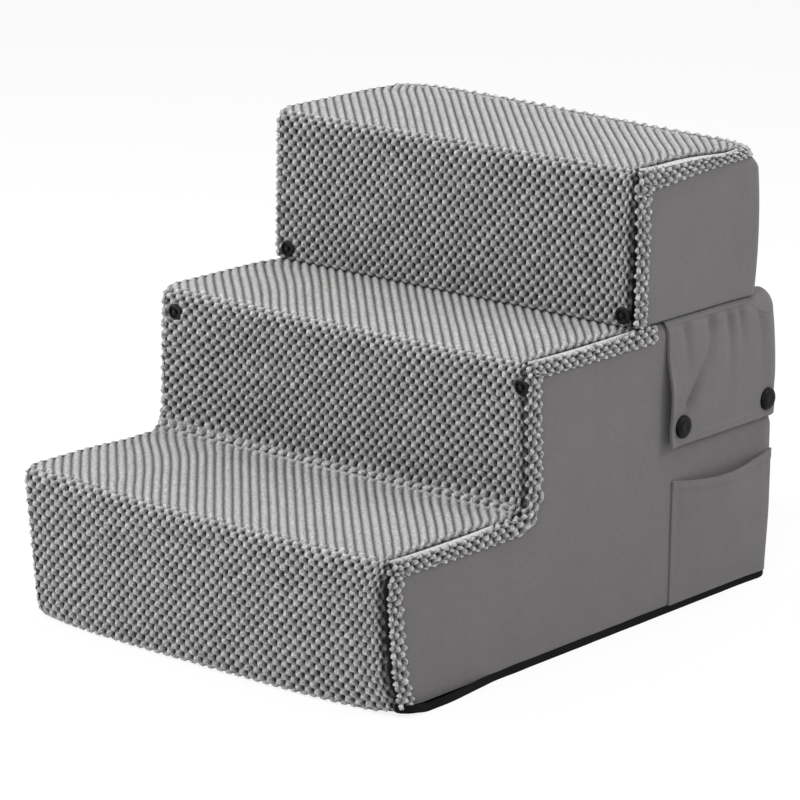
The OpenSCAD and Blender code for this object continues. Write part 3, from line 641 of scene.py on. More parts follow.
# An arc that rounds a corner of a line
def cornerArc(before, corner, after, radius):
    u, v = unit(before - corner), unit(after - corner)
    half = math.acos(float(u @ v)) / 2
    centre = corner + unit(u + v) * radius / math.sin(half)
    start = corner + u * radius / math.tan(half) - centre
    end = corner + v * radius / math.tan(half) - centre
    angle = math.atan2(start[1], start[0])
    turn = math.atan2(start[0] * end[1] - start[1] * end[0], float(start @ end))
    return centre, angle, turn


def straightPart(a, b):
    return lambda t: a + (b - a) * t[:, None]


def roundPart(centre, angle, turn, radius):
    def points(t):
        now = angle + turn * t
        return centre + radius * np.stack([np.cos(now), np.sin(now)], axis=1)

    return points


# A line that can be drawn in by any depth and keeps the same number of points
class RoundedLine:
    def __init__(self, cornersAt, radiiAt, spacing):
        self.cornersAt = cornersAt
        self.radiiAt = radiiAt
        self.kept = {}
        lengths = [length for length, points in self.parts(0)]
        self.counts = [max(3, math.ceil(length / spacing)) for length in lengths]
        steps = np.linalg.norm(np.diff(self.at(0), axis=0), axis=1)
        self.places = np.concatenate([[0], np.cumsum(steps)])

    def parts(self, depth):
        corners = [np.array(c, float) for c in self.cornersAt(depth)]
        here = corners[0]
        made = []
        for i, radius in enumerate(self.radiiAt(depth)):
            centre, angle, turn = cornerArc(*corners[i : i + 3], radius)
            ring = roundPart(centre, angle, turn, radius)
            ends = ring(np.array([0.0, 1.0]))
            made.append((np.linalg.norm(ends[0] - here), straightPart(here, ends[0])))
            made.append((abs(turn) * radius, ring))
            here = ends[1]
        made.append((np.linalg.norm(corners[-1] - here), straightPart(here, corners[-1])))
        return made

    def at(self, depth):
        if depth not in self.kept:
            rows = [np.array([self.cornersAt(depth)[0]], float)]
            for count, (length, points) in zip(self.counts, self.parts(depth)):
                rows.append(points(np.arange(1, count + 1) / count))
            self.kept[depth] = np.concatenate(rows)
        return self.kept[depth]


def riserY(noseY, topZ, rise, z, depth):
    lean = stair["lean"]
    return noseY + lean * (topZ - z) / rise + depth * math.hypot(rise, lean) / rise


def firstRiserY(z, depth):
    return riserY(stair["firstNose"], stair["firstZ"], stair["firstZ"], z, depth)


def secondRiserY(z, depth):
    return riserY(stair["secondNose"], stair["deckZ"], stair["deckZ"] - stair["firstZ"], z, depth)


leastRadius = 0.5
plushGrid = {"across": 0.99, "along": 1.39}

stepLine = RoundedLine(
    lambda a: [
        (firstRiserY(stair["footLift"], a), stair["footLift"]),
        (firstRiserY(stair["firstZ"] - a, a), stair["firstZ"] - a),
        (secondRiserY(stair["firstZ"] - a, a), stair["firstZ"] - a),
        (secondRiserY(stair["deckZ"] - a, a), stair["deckZ"] - a),
        (stair["tuckY"], stair["deckZ"] - a),
    ],
    lambda a: [
        max(stair["noseRadius"] - a, leastRadius),
        stair["cornerRadius"] + a,
        max(stair["noseRadius"] - a, leastRadius),
    ],
    plushGrid["along"],
)
meetIndex = sum(stepLine.counts[:3]) + stepLine.counts[3] // 2

blockEndY = block["backY"] - stair["seamInset"] - 2
blockLine = RoundedLine(
    lambda a: [
        (block["frontY"] + a, block["footZ"] + stair["footLift"]),
        (block["frontY"] + a, block["topZ"] - a),
        (blockEndY, block["topZ"] - a),
    ],
    lambda a: [max(stair["noseRadius"] - a, leastRadius)],
    plushGrid["along"],
)


# Bumpy plush


plushBumps = {
    "Period across": 9.9,
    "Period along": 11.1,
    "Pit depth": 3.0,
    "Tightness": 1.45,
    "Crown": 1.5,
    "Rib gap": 1.4,
    "Rise": 0.0,
    "Wander": 2.2,
    "Fray": 2.0,
    "Size spread": 0.7,
    "Pile": 1.5,
}


# The plush's bumps, grown by a node tree: low crowns with small deep pits between. Where a level
# part stores a share of ribs, the crowns run together along the lattice's diagonals.
def bumpTree():
    tree, start, end = newGrowth("bumpyPlush", {**plushBumps, "Seed": 0.0})
    place = keptValue(tree, "place", "FLOAT_VECTOR")
    parts = put(tree, "ShaderNodeSeparateXYZ", {0: place}).outputs
    flat = put(tree, "ShaderNodeCombineXYZ", {0: parts[0], 1: parts[1], 2: start["Seed"]}).outputs[0]
    drifts = []
    for scale in (0.045, 0.21):
        drift = put(tree, "ShaderNodeTexNoise", {"Vector": flat, "Scale": scale, "Detail": 1.0})
        drifts.append(put(tree, "ShaderNodeSeparateXYZ", {0: drift.outputs["Color"]}).outputs)
    periods = [start["Period across"], start["Period along"]]
    turns = []
    for k, period in enumerate(periods):
        drifted = parts[k]
        for drift, strength in zip(drifts, ("Wander", "Fray")):
            shift = maths(tree, "MULTIPLY", maths(tree, "SUBTRACT", drift[k], 0.5), start[strength])
            drifted = maths(tree, "ADD", drifted, shift)
        turns.append(maths(tree, "MULTIPLY", maths(tree, "DIVIDE", drifted, period), 2 * math.pi))
    waves = [maths(tree, "COSINE", turn) for turn in turns]
    bumps = maths(tree, "MULTIPLY", waves[0], waves[1])
    steps = [maths(tree, "DIVIDE", parts[k], period) for k, period in enumerate(periods)]
    even = maths(tree, "MULTIPLY", maths(tree, "ADD", steps[0], steps[1]), 2 * math.pi)
    strayed = maths(tree, "SUBTRACT", maths(tree, "ADD", turns[0], turns[1]), even)
    ridges = maths(tree, "COSINE", maths(tree, "MULTIPLY_ADD", strayed, 0.3, even))
    ribs = keptValue(tree, "ribs")
    lattice = put(tree, "ShaderNodeMix", {0: ribs, 2: bumps, 3: ridges}).outputs[0]
    sizes = put(tree, "ShaderNodeTexNoise", {"Vector": flat, "Scale": 0.13, "Detail": 1.0}).outputs["Fac"]
    uneven = maths(tree, "MULTIPLY", maths(tree, "SUBTRACT", sizes, 0.5), start["Size spread"])
    grown = maths(tree, "ADD", 1.0, uneven)
    narrow = maths(tree, "MULTIPLY_ADD", ribs, start["Rib gap"], 1.0)
    tight = maths(tree, "MULTIPLY", maths(tree, "MULTIPLY", start["Tightness"], grown), narrow)
    near = maths(tree, "MULTIPLY_ADD", lattice, 0.5, 0.5)
    hollow = maths(tree, "POWER", near, tight)
    fine = put(tree, "ShaderNodeTexNoise", {"Vector": flat, "Scale": 0.55, "Detail": 2.0}).outputs["Fac"]
    fuzz = maths(tree, "MULTIPLY", maths(tree, "SUBTRACT", fine, 0.5), start["Pile"])
    sunk = maths(tree, "MULTIPLY", start["Pit depth"], hollow)
    crown = maths(tree, "MULTIPLY", start["Crown"], lattice)
    above = maths(tree, "ADD", start["Rise"], fuzz)
    below = maths(tree, "ADD", sunk, crown)
    height = maths(tree, "SUBTRACT", above, below)
    faded = maths(tree, "MULTIPLY", maths(tree, "MULTIPLY", height, parts[2]), mm)
    normal = put(tree, "GeometryNodeInputNormal").outputs[0]
    offset = vectorMaths(tree, "SCALE", normal)
    tree.links.new(faded, offset.inputs["Scale"])
    # The stored value sets the plush's colour as painted shade: near black in the pits, and where the
    # share of bumps fades to nothing at edges and seams; a fifth lower where ribs run; and lower again by
    # the kept painted shade of the seams' rolled edges.
    shown = maths(tree, "MULTIPLY", parts[2], 3.5, clamp=True)
    light = maths(tree, "SUBTRACT", 1.0, maths(tree, "MULTIPLY", hollow, parts[2]))
    plushShade = maths(tree, "MULTIPLY", light, shown)
    paintedShade = keptValue(tree, "paintedShade")
    clear = maths(tree, "SUBTRACT", maths(tree, "MULTIPLY_ADD", ribs, -0.2, 1.0), paintedShade)
    plushShade = maths(tree, "MULTIPLY", plushShade, clear)
    kept = put(
        tree,
        "GeometryNodeStoreNamedAttribute",
        {"Geometry": start["Geometry"], "Name": "plushShade", "Value": plushShade},
        data_type="FLOAT",
        domain="POINT",
    )
    moved = {"Geometry": kept.outputs[0], "Offset": offset.outputs[0]}
    raised = put(tree, "GeometryNodeSetPosition", moved)
    return finishTree(tree, start, end, raised.outputs[0])


bumpyPlush = bumpTree()
bandBumps = {
    **plushBumps,
    "Pit depth": 3.2,
    "Tightness": 1.2,
    "Crown": 1.8,
    "Rise": 0.2,
    "Wander": 6.0,
    "Fray": 3.0,
}

# The plush's edges, and what the seams between plush and bands do to it
plushEdge = {"roll": 5.2, "rollSteps": 8, "endRoll": 3.5}
seam = {
    "gap": 1.5,
    "riser": 1.5,
    "blockRiser": 1.2,
    "tread": 0.9,
    "blockTop": 1.5,
    "crowd": 4.5,
    "level": 0.46,
    "paintedShade": 0.46,
    "ribShare": 0.85,
    "bandTuck": 2.7,
    "riserTuck": 1.5,
    "deepest": 1.5,
    "sinkDepth": 11,
    "uneven": 0.8,
}


# The bands' sections: open to the seam on the right side and closed on the left
openBand = {
    "gap": seam["gap"],
    "sharp": 1.8,
    "curve": 3.6,
    "lowShare": 0.6,
    "edgeSteps": 4,
    "curveSteps": 7,
    "sideSteps": 11,
}
closedBand = {
    "gap": 0,
    "sharp": 0.35,
    "curve": 10.0,
    "lowShare": 1.0,
    "edgeSteps": 3,
    "curveSteps": 15,
    "sideSteps": 5,
}
bandHem = {"radius": 1.6, "steps": 4, "highShare": 0.9, "fall": 0.7}


# Each section is a list of sideways place, depth, share of the bumps, and how far it gives with
# the seam
def openEdge(edge):
    roll, steps = plushEdge["roll"], plushEdge["rollSteps"]
    low = stair["plushDepth"]
    made = [(edge + seam["gap"], low, 0.0, 0.0), (edge, low, 0.1, 1.0), (edge, (low + roll) / 2, 0.6, 1.0)]
    for t in np.linspace(0, math.pi / 2, steps + 1):
        place = edge - roll + roll * math.cos(t)
        made.append((place, roll - roll * math.sin(t), 0.85 + 0.15 * math.sin(t), 1.0))
    return made


def closedEdge(edge):
    low = stair["plushDepth"]
    sharp = closedBand["sharp"]
    return [
        (edge, low, 0.0, 0.0),
        (edge, low / 2, 0.5, 0.0),
        (edge, sharp, 1.0, 0.0),
        (edge - sharp, 0.0, 1.0, 0.0),
    ]


# The section of the plush between the bands
def acrossPlush():
    right = openEdge(stair["seamX"] - seam["gap"])
    left = [(-x, depth, share, 0.0) for x, depth, share, give in closedEdge(stair["seamX"])[::-1]]
    begin, end = right[-1][0], left[0][0]
    count = math.ceil((begin - end) / plushGrid["across"])
    top = []
    for k in range(1, count):
        place = begin + (end - begin) * k / count
        top.append((place, 0.0, 1.0, float(smooth(begin - 30, begin, place))))
    return withPattern(np.array(right + top + left))


# Adds the pattern's places, which run along the section's surface
def withPattern(section, start=None):
    steps = np.linalg.norm(np.diff(section[:, :2], axis=0), axis=1)
    places = np.concatenate([[0], np.cumsum(steps)])
    top = np.where(section[:, 1] < 0.01)[0]
    if start is None:
        pattern = section[top[0], 0] + places[top[0]] - places
        edge = section[0, 0]
        pattern = pattern + seam["crowd"] * smooth(edge - 13, edge, section[:, 0])
    else:
        pattern = start + places
    x, depth, share, give = section.T
    return {"x": x, "depth": depth, "pattern": pattern, "share": share, "give": give}


def acrossBand(form):
    outer, side = stair["halfWidth"], stair["sideX"]
    drop, depth = stair["bandDrop"], stair["plushDepth"]
    sharp, curve, low = form["sharp"], form["curve"], bandHem["radius"]
    inner = stair["seamX"] + form["gap"]
    lowShare = form["lowShare"]
    quarter = math.pi / 2
    points = [(inner, depth, 0.0), (inner, (depth + sharp) / 2, lowShare / 2)]
    for t in np.linspace(0, quarter, form["edgeSteps"]):
        share = lowShare + (1 - lowShare) * t / quarter
        points.append((inner + sharp - sharp * math.cos(t), sharp - sharp * math.sin(t), share))
    for t in np.linspace(0, quarter, form["curveSteps"]):
        place = outer - curve + curve * math.sin(t)
        points.append((max(place, inner + sharp + 0.01), curve - curve * math.cos(t), 1.0))
    count = form["sideSteps"]
    points += [(outer, curve + (drop - low - curve) * k / count, 1.0) for k in range(1, count)]
    for t in np.linspace(0, quarter, bandHem["steps"]):
        share = bandHem["highShare"] - bandHem["fall"] * t / quarter
        points.append((outer - low + low * math.cos(t), drop - low + low * math.sin(t), share))
    inside = side - stair["clothThickness"]
    points += [(side, drop, 0.0), (inside, drop, 0.0), (inside, depth, 0.0)]
    section = []
    for x, down, share in points:
        onTop = down < depth + 0.1 and x < side
        give = 1.0 - (x - inner) / (outer - inner) if onTop else 0.0
        section.append((x, down, share, give))
    made = withPattern(np.array(section), start=inner - depth)
    if form is closedBand:
        made["pattern"] = -made["pattern"]
        made["x"] = -made["x"]
    return made


# Where the press studs on the plush draw it in
def studPlaces(node, field):
    low, high = boxOf(node)
    radius = (high[2] - low[2]) / 2
    found = []
    for sign in (-1, 1):
        front = np.array([sign * (high[0] - radius), low[1], (low[2] + high[2]) / 2])
        calm = front - field(front[None, :])[0]
        found.append((front, front - field(calm[None, :])[0]))
    return found


studs = studPlaces("riser_2_studs", baseField) + studPlaces("block_studs", blockField)
pinch = {"inner": 4.5, "outer": 10.0, "depth": 5.5, "reach": 14, "cornerFade": 0.6}


# Flattens the bumps at the studs and at the block's rear corners
def drawIn(rows, grid):
    for front, calm in studs:
        away = np.hypot(rows[..., 0] - calm[0], rows[..., 2] - calm[2])
        beside = np.abs(rows[..., 1] - calm[1]) < pinch["reach"]
        close = (1 - smooth(pinch["inner"], pinch["outer"], away)) * beside
        rows[..., 1] += close * np.maximum(calm[1] + pinch["depth"] - rows[..., 1], 0)
        grid[..., 2] *= 1 - close
    rearward = smooth(block["backY"] - 30, block["backY"] - 6, rows[..., 1])
    corner = smooth(165, 195, np.abs(rows[..., 0])) * rearward
    grid[..., 2] *= 1 - pinch["cornerFade"] * corner


# A plush slab along a line, its ends rolled in, with the seam's opening as a share at each point
def makePlush(
    name, section, line, first, final, opening, seed, ends=(True, True), shear=None, bumps=plushBumps
):
    field = baseField if line is stepLine else blockField
    banded = bumps is bandBumps
    sink = np.clip(1 - section["depth"] / seam["sinkDepth"], 0, 1) * banded
    outer = line.at(0)[first : final + 1]
    places = line.places[first : final + 1]
    inward = line.at(1)[first : final + 1] - outer
    inward /= np.linalg.norm(inward, axis=1)[:, None]
    roll = plushEdge["endRoll"]
    sunk = np.zeros(len(outer))
    fade = np.ones(len(outer))
    for near, used in ((places - places[0], ends[0]), (places[-1] - places, ends[1])):
        if used:
            left = np.clip(roll - near, 0, roll)
            sunk = np.maximum(sunk, roll - np.sqrt(roll**2 - left**2))
            fade = np.minimum(fade, 0.35 + 0.65 * smooth(0, roll, near))
    depths = section["depth"]
    deepest = depths.max()
    way = -1.0 if section["x"][0] > section["x"][-1] else 1.0
    rows = []
    for i in range(len(outer)):
        wave = noise.noise(Vector((places[i] * 0.12, seed, 0)))
        gap = opening(outer[i]) * (1 + seam["uneven"] * wave)
        x = section["x"] + way * seam["gap"] * gap * section["give"]
        at = np.array([line.at(d)[first + i] for d in depths])
        tuck = seam["bandTuck"] * max(-inward[i][1], 0) ** 4 * sink
        tuck = tuck + seam["riserTuck"] * max(inward[i][0], 0) ** 4 * sink * section["give"]
        low = sunk[i] * (1 - depths / deepest) + tuck * min(gap, seam["deepest"])
        at = at + inward[i] * low[:, None]
        rows.append(np.column_stack([x, at]))
    rows = np.array(rows)
    m, n = rows.shape[:2]
    grid = np.zeros((m, n, 3))
    grid[:, :, 0] = section["pattern"][None, :]
    grid[:, :, 1] = places[:, None]
    flat = np.clip(-inward[:, 1], 0, 1)
    inside = smooth(5, 13, stair["seamX"] - section["x"]) * (not banded)
    level = seam["level"] * (flat**2)[:, None] * inside[None, :]
    grid[:, :, 2] = section["share"][None, :] * fade[:, None] * (1 - level)
    ribs = seam["ribShare"] * smooth(0.8, 0.99, flat)[:, None] * inside[None, :]
    moved = field(rows.reshape(-1, 3))[:, 1].reshape(m, n)
    grid[1:, :, 1] += np.cumsum(np.diff(moved, axis=0) * flat[1:, None], axis=0)
    if shear is not None:
        grid[:, :, 0] -= shear(outer)[:, None]
    drawIn(rows, grid)
    # Painted shade on the plush's rolled edge beside an open seam, where the groove's wall faces away from
    # the light
    paintedShade = seam["paintedShade"] * smooth(0.1, 2.4, depths) * (section["give"] > 0.85)
    return growPlush(name, rows, grid, ribs, paintedShade, seed, bumps)


# The slab's mesh with its pattern places, shares of ribs and painted shade, and its bumps grown
def growPlush(name, rows, grid, ribs, paintedShade, seed, bumps):
    m, n = rows.shape[:2]
    faces = gridFaces(m, n)
    faces += [[i * n + n - 1, i * n, (i + 1) * n, (i + 1) * n + n - 1] for i in range(m - 1)]
    faces += [list(range(n))[::-1], [(m - 1) * n + k for k in range(n)]]
    piece = linkMesh(name, rows.reshape(-1, 3), faces, place=grid.reshape(-1, 3))
    storeValues(piece.data, "ribs", ribs)
    storeValues(piece.data, "paintedShade", np.broadcast_to(paintedShade, (m, n)))
    cleanNormals(piece)
    return growWith(piece, bumpyPlush, dict(bumps, Seed=seed, Material=plushFinish))


# A seam's opening between two ends
def lens(low, high, x):
    t = np.clip((x - low) / (high - low), 0, 1)
    return math.sin(math.pi * t) ** 0.6 if 0 < t < 1 else 0.0


# The tread seams that stand open, from end to end: both base treads and the block's top
innerY = secondRiserY(stair["firstZ"], 0)
openRuns = [
    (stair["firstNose"] + 8, innerY - 42),
    (stair["secondNose"] + 8, block["frontY"] + 8),
    (block["frontY"] + 8, block["backY"] - 22),
]


# How far the seam between plush and band stands open at a point of the steps' line
def stepOpening(point):
    y, z = point
    if z < stair["firstZ"] - stair["noseRadius"]:
        return seam["riser"] * smooth(4, 24, z) * smooth(stair["firstZ"] - 4, stair["firstZ"] - 26, z)
    if y < innerY - 4 and z < stair["firstZ"] + 2:
        return seam["tread"] * lens(*openRuns[0], y)
    if y > stair["secondNose"] + 6 and z > stair["deckZ"] - 3:
        return seam["tread"] * lens(*openRuns[1], y)
    return 0.0


def blockOpening(point):
    y, z = point
    if z < block["topZ"] - stair["noseRadius"]:
        return seam["blockRiser"] * smooth(block["topZ"] - 8, block["topZ"] - 90, z)
    return seam["blockTop"] * lens(*openRuns[2], y)


# The risers' rows lean a little to the side as they go down from the top, in front of a nose
def riserShear(noseY, topZ, share):
    def shear(points):
        drop = np.where(points[:, 0] < noseY + 30, topZ - points[:, 1], 0)
        return share * np.clip(drop, 0, None)

    return shear


print("plush of the steps")
seeds = {"steps": 3.0, "block": 11.0, "rearBand": 29.0, "bandStep": 16}
lastIndex = sum(stepLine.counts)
blockLast = sum(blockLine.counts)
wide = acrossPlush()
lean1 = riserShear(stair["firstNose"], stair["firstZ"], -0.07)
lean2 = riserShear(stair["secondNose"], stair["deckZ"], -0.07)
lean3 = riserShear(block["backY"], block["topZ"], -0.05)
plushParts = [
    (1, stepLine, 0, meetIndex + 1, stepOpening, "base", seeds["steps"], (True, False), lean1),
    (2, stepLine, meetIndex - 1, lastIndex, stepOpening, "base", seeds["steps"], (False, True), lean2),
    (3, blockLine, 0, blockLast, blockOpening, "block", seeds["block"], (True, True), lean3),
]
for step, line, first, final, opening, body, seed, ends, lean in plushParts:
    piece = makePlush(f"step_{step}_cover", wide, line, first, final, opening, seed, ends, lean)
    settle(piece, None, body, [f"step_{step}_plush"])


# A closed seam's opening
def shut(point):
    return 0.0


def bothLeans(points):
    return lean1(points) + lean2(points)


print("bands")
bandSections = {"right": acrossBand(openBand), "left": acrossBand(closedBand)}
topEnd = blockLast - 5
bandParts = [
    ("side_band", stepLine, lastIndex, stepOpening, "base", "side_band", seeds["steps"], bothLeans),
    ("block_side_band", blockLine, topEnd, blockOpening, "block", "block_band", seeds["block"], lean3),
]
for name, line, final, opening, body, node, seed, leans in bandParts:
    bent = bandSections["right"]
    openSeed = seed + seeds["bandStep"]
    right = makePlush(f"{name}_right_cover", bent, line, 0, final, opening, openSeed, bumps=bandBumps)
    bent = bandSections["left"]
    left = makePlush(f"{name}_left_cover", bent, line, 0, final, shut, seed, shear=leans)
    for piece, side in ((right, "right"), (left, "left")):
        if body == "block":
            shapeTo(piece, bandField)
        settle(piece, None, body, [f"{node}_{side}"])


# A copy of a piece on the other side, turned right way out
def mirrored(piece, name):
    other = linkPiece(name, piece.data.copy())
    other.data.name = name
    other.data.transform(Matrix.Scale(-1, 4, (1, 0, 0)))
    other.data.flip_normals()
    return other


# The line round the rear of a body in plan: right side, right corner, back, left corner, left side
def rearLine(halfWidth, frontY, backY, radius, spacing):
    return RoundedLine(
        lambda a: [
            (halfWidth - a, frontY),
            (halfWidth - a, backY - a),
            (-halfWidth + a, backY - a),
            (-halfWidth + a, frontY),
        ],
        lambda a: [max(radius - a, leastRadius)] * 2,
        spacing,
    )


# The block's band round the back
def rearBand():
    start = block["backY"] - block["rearRadius"] - 1
    line = rearLine(stair["halfWidth"], start, block["backY"], block["rearRadius"], plushGrid["along"])
    section = bandSections["right"]
    rings = []
    for i in range(len(line.places)):
        plan = [line.at(float(stair["halfWidth"] - x))[i] for x in section["x"]]
        rings.append([(*at, block["topZ"] - d) for at, d in zip(plan, section["depth"])])
    rows = np.array(rings)
    grid = np.zeros(rows.shape)
    grid[:, :, 0] = section["pattern"][None, :]
    grid[:, :, 1] = line.places[:, None]
    grid[:, :, 2] = section["share"][None, :]
    drawIn(rows, grid)
    ribs = np.zeros(rows.shape[:2])
    return growPlush("block_rear_band_cover", rows, grid, ribs, 0.0, seeds["rearBand"], bandBumps)


rear = rearBand()
shapeTo(rear, bandField)
settle(rear, None, "block", ["block_band_rear"])

# Seam tapes: light strips down in the lens of an open seam, lower at the outer side and rising
# at their ends
tapes = {
    "width": 4.6,
    "leastWidth": 0.15,
    "inset": -0.4,
    "crown": 0.5,
    "inner": -3.2,
    "outer": -5.3,
    "endRise": 2.4,
    "steps": 60,
    "rows": 7,
    "thickness": 0.8,
}


def makeTapes(name, runs, opening, body, node):
    grids = []
    for (low, high), z in runs:
        along = np.linspace(low, high, tapes["steps"])
        parted = np.array([opening((y, z)) for y in along])
        rows = []
        for t in np.linspace(0, 1, tapes["rows"]):
            spread = (t - 0.5) * tapes["width"] * (tapes["leastWidth"] + parted)
            x = stair["seamX"] + tapes["inset"] + spread
            arch = tapes["crown"] * math.sin(math.pi * t)
            tilt = tapes["inner"] + (tapes["outer"] - tapes["inner"]) * t
            rise = tapes["endRise"] * (1 - np.minimum(parted, 1))
            rows.append(np.column_stack([x, along, z + tilt + arch + rise]))
        grids.append(np.array(rows))
    grids += [g * np.array([-1, 1, 1]) for g in grids]
    piece = makeCloth(name, grids, upwards, tapes["thickness"])[0]
    settle(piece, tapeFinish, body, [node])
    return piece


treadRuns = [(openRuns[0], stair["firstZ"]), (openRuns[1], stair["deckZ"])]
makeTapes("tread_tapes", treadRuns, stepOpening, "base", "tread_seam_tapes")
makeTapes("block_tapes", [(openRuns[2], block["topZ"])], blockOpening, "block", "block_seam_tapes")

# Smooth cover of the base
print("smooth covers")
cloth = {
    "tuck": 3,
    "column": 6,
    "ripple": 0.5,
    "broad": 70,
    "fine": 28,
    "fadeOver": 14,
    "thickness": stair["clothThickness"],
}


# Soft unevenness of a stretched panel, which fades at its edges
def stretch(rows, normal, seed):
    along, down = np.moveaxis(gridPlace(rows), 2, 0)
    edge = np.minimum.reduce([along, along.max() - along, down, down.max() - down])
    waves = ripple(rows, cloth["broad"], seed) + 0.5 * ripple(rows, cloth["fine"], seed + 3)
    lift = cloth["ripple"] * waves * smooth(0, cloth["fadeOver"], edge)
    return rows + normal * lift[..., None]


def sidePanel():
    tuck = stair["bandDrop"] - cloth["tuck"]
    low = stair["rimTop"] - 1
    rearY = stair["backY"] - stair["rearRadius"]
    fillet = stair["cornerRadius"] + tuck
    firstTop = stair["firstZ"] - tuck
    top = stair["deckZ"] - stair["deckEdgeRadius"]
    corner = firstTop + fillet
    below = np.linspace(0, 1, 25)
    shares = np.concatenate([np.linspace(0, 0.8, 22)[:-1], np.linspace(0.8, 1, 12)])
    front = []
    for t in below:
        row = []
        for share in shares:
            width = secondRiserY(firstTop, tuck) - firstRiserY(firstTop, tuck)
            left = max(fillet - (1 - share) * width, 0)
            z = low + (firstTop + fillet - math.sqrt(fillet**2 - left**2) - low) * t
            y = firstRiserY(z, tuck) * (1 - share) + secondRiserY(z, tuck) * share
            row.append((stair["sideX"], y, z))
        front.append(row)
    heights = np.concatenate([low + (corner - low) * below, np.linspace(corner, top, 20)[1:]])
    rear = []
    for z in heights:
        start = secondRiserY(min(z, stair["deckZ"] - tuck), tuck)
        run = rearY - start
        rear.append([(stair["sideX"], start + run * share, z) for share in np.linspace(0, 1, 52)])
    lift = np.array([1.0, 0, 0])
    seed = 5.0
    made = [stretch(np.array(rear), lift, seed)]
    frontRows = np.array(front)
    offset = cloth["ripple"] * ripple(frontRows, cloth["broad"], seed)
    fromFoot = smooth(0, cloth["fadeOver"], frontRows[..., 2] - low)
    fade = fromFoot * smooth(0, 20, secondRiserY(60, 0) - frontRows[..., 1])
    made.append(frontRows + lift * (offset * fade)[..., None])
    return made


sideGrids = sidePanel()
for side, sign in (("right", 1), ("left", -1)):
    grids = [g * np.array([sign, 1, 1]) for g in sideGrids]
    piece, area = makeCloth(f"side_{side}_cover", grids, sidewards(sign), cloth["thickness"])
    settle(piece, wovenFinish, "base", [f"side_panel_{side}"])
    length = (stair["backY"] - stair["rearRadius"] - firstRiserY(10, 12)) * mm

baseRear = rearLine(stair["sideX"], stair["tuckY"], stair["backY"], stair["rearRadius"], cloth["column"])
zipPlan = {"half": boxOf("base_zip_teeth")[1][0] + 3, "halfHeight": 5.0}


# Rows of a wall that follows a plan line, at pairs of depth and height
def wallRows(line, profile, first, final):
    return np.array([[(*line.at(float(d))[i], z) for i in range(first, final + 1)] for d, z in profile])


def outFrom(centre):
    return lambda place: (Vector(place) - Vector(centre)).normalized()


# The values, with the nearest one moved to each wanted value
def snapTo(values, wanted):
    found = np.array(values, float)
    for w in wanted:
        found[np.argmin(np.abs(found - w))] = w
    return found


# The wall round a body's rear, with a slot for the zip
def rearWall(name, line, low, high, zipZ, body, node, seed):
    zipLow = zipZ - zipPlan["halfHeight"]
    zipHigh = zipZ + zipPlan["halfHeight"]
    heights = snapTo(np.linspace(low, high, 44), [zipLow, zipHigh])
    first, final = line.counts[0], sum(line.counts[:4])
    rows = wallRows(line, [(0, z) for z in heights], first, final)
    back = sum(line.counts[:2]) - first
    across = rows[0, :, 0]
    for edge in (zipPlan["half"], -zipPlan["half"]):
        j = int(np.argmin(np.abs(across - edge)))
        rows[:, j, 0] = edge
    normal = np.zeros_like(rows)
    normal[..., 1] = 1
    rows = stretch(rows, normal, seed)
    across = rows[0, :, 0]

    def skip(i, j):
        inZip = zipLow - 0.1 <= heights[i] and heights[i + 1] <= zipHigh + 0.1
        return inZip and back <= j and abs(across[j] + across[j + 1]) / 2 < zipPlan["half"]

    middle = (0, line.at(0)[:, 1].min(), (low + high) / 2)
    piece, area = makeCloth(name, [rows], outFrom(middle), cloth["thickness"], [skip])
    settle(piece, wovenFinish, body, [node])
    return piece


def middleZ(node):
    low, high = boxOf(node)
    return float((low[2] + high[2]) / 2)


backLow = stair["rimTop"] - 1
backHigh = stair["deckZ"] - stair["deckEdgeRadius"]
baseZipZ = middleZ("base_zip_teeth")
rearWall("back_cover", baseRear, backLow, backHigh, baseZipZ, "base", "back_panel", 9.0)


# Rounded edge between a wall and a lid, as pairs of depth and height
def edgeProfile(radius, z, sign, steps=8):
    turns = np.linspace(0, math.pi / 2, steps)
    return [(radius * (1 - math.cos(t)), z - sign * (radius - radius * math.sin(t))) for t in turns]


# Rows that span from the right side of a plan line to the left
def lidRows(line, depth, z):
    side = sum(line.counts[:2])
    back = line.counts[2]
    right = line.at(float(depth))[: side + 1]
    return np.array([[(x * (1 - 2 * k / back), y, z) for k in range(back + 1)] for x, y in right])


# A flat cover that turns down, or up where sign is -1, over a rounded edge
def makeLid(name, line, radius, z, sign, body, node, seed):
    profile = edgeProfile(radius, z, sign)
    edge = wallRows(line, profile, 0, sum(line.counts))
    top = stretch(lidRows(line, radius, z), np.array([0, 0, float(sign)]), seed)
    centre = (0, line.at(0)[:, 1].mean(), z - sign * 200)
    piece, area = makeCloth(name, [edge, top], outFrom(centre), cloth["thickness"])
    settle(piece, wovenFinish, body, [node])
    roundEdge = radius * (math.pi / 2 - 1)
    plan = line.at(0)
    width = 2 * (plan[:, 0].max() + roundEdge) * mm
    length = (plan[:, 1].max() - plan[:, 1].min() + roundEdge) * mm
    cut = min(area, width * length)
    return piece


deckEdge, deckZ = stair["deckEdgeRadius"], stair["deckZ"]
makeLid("deck_cover", baseRear, deckEdge, deckZ, 1, "base", "deck_panel", 13.0)

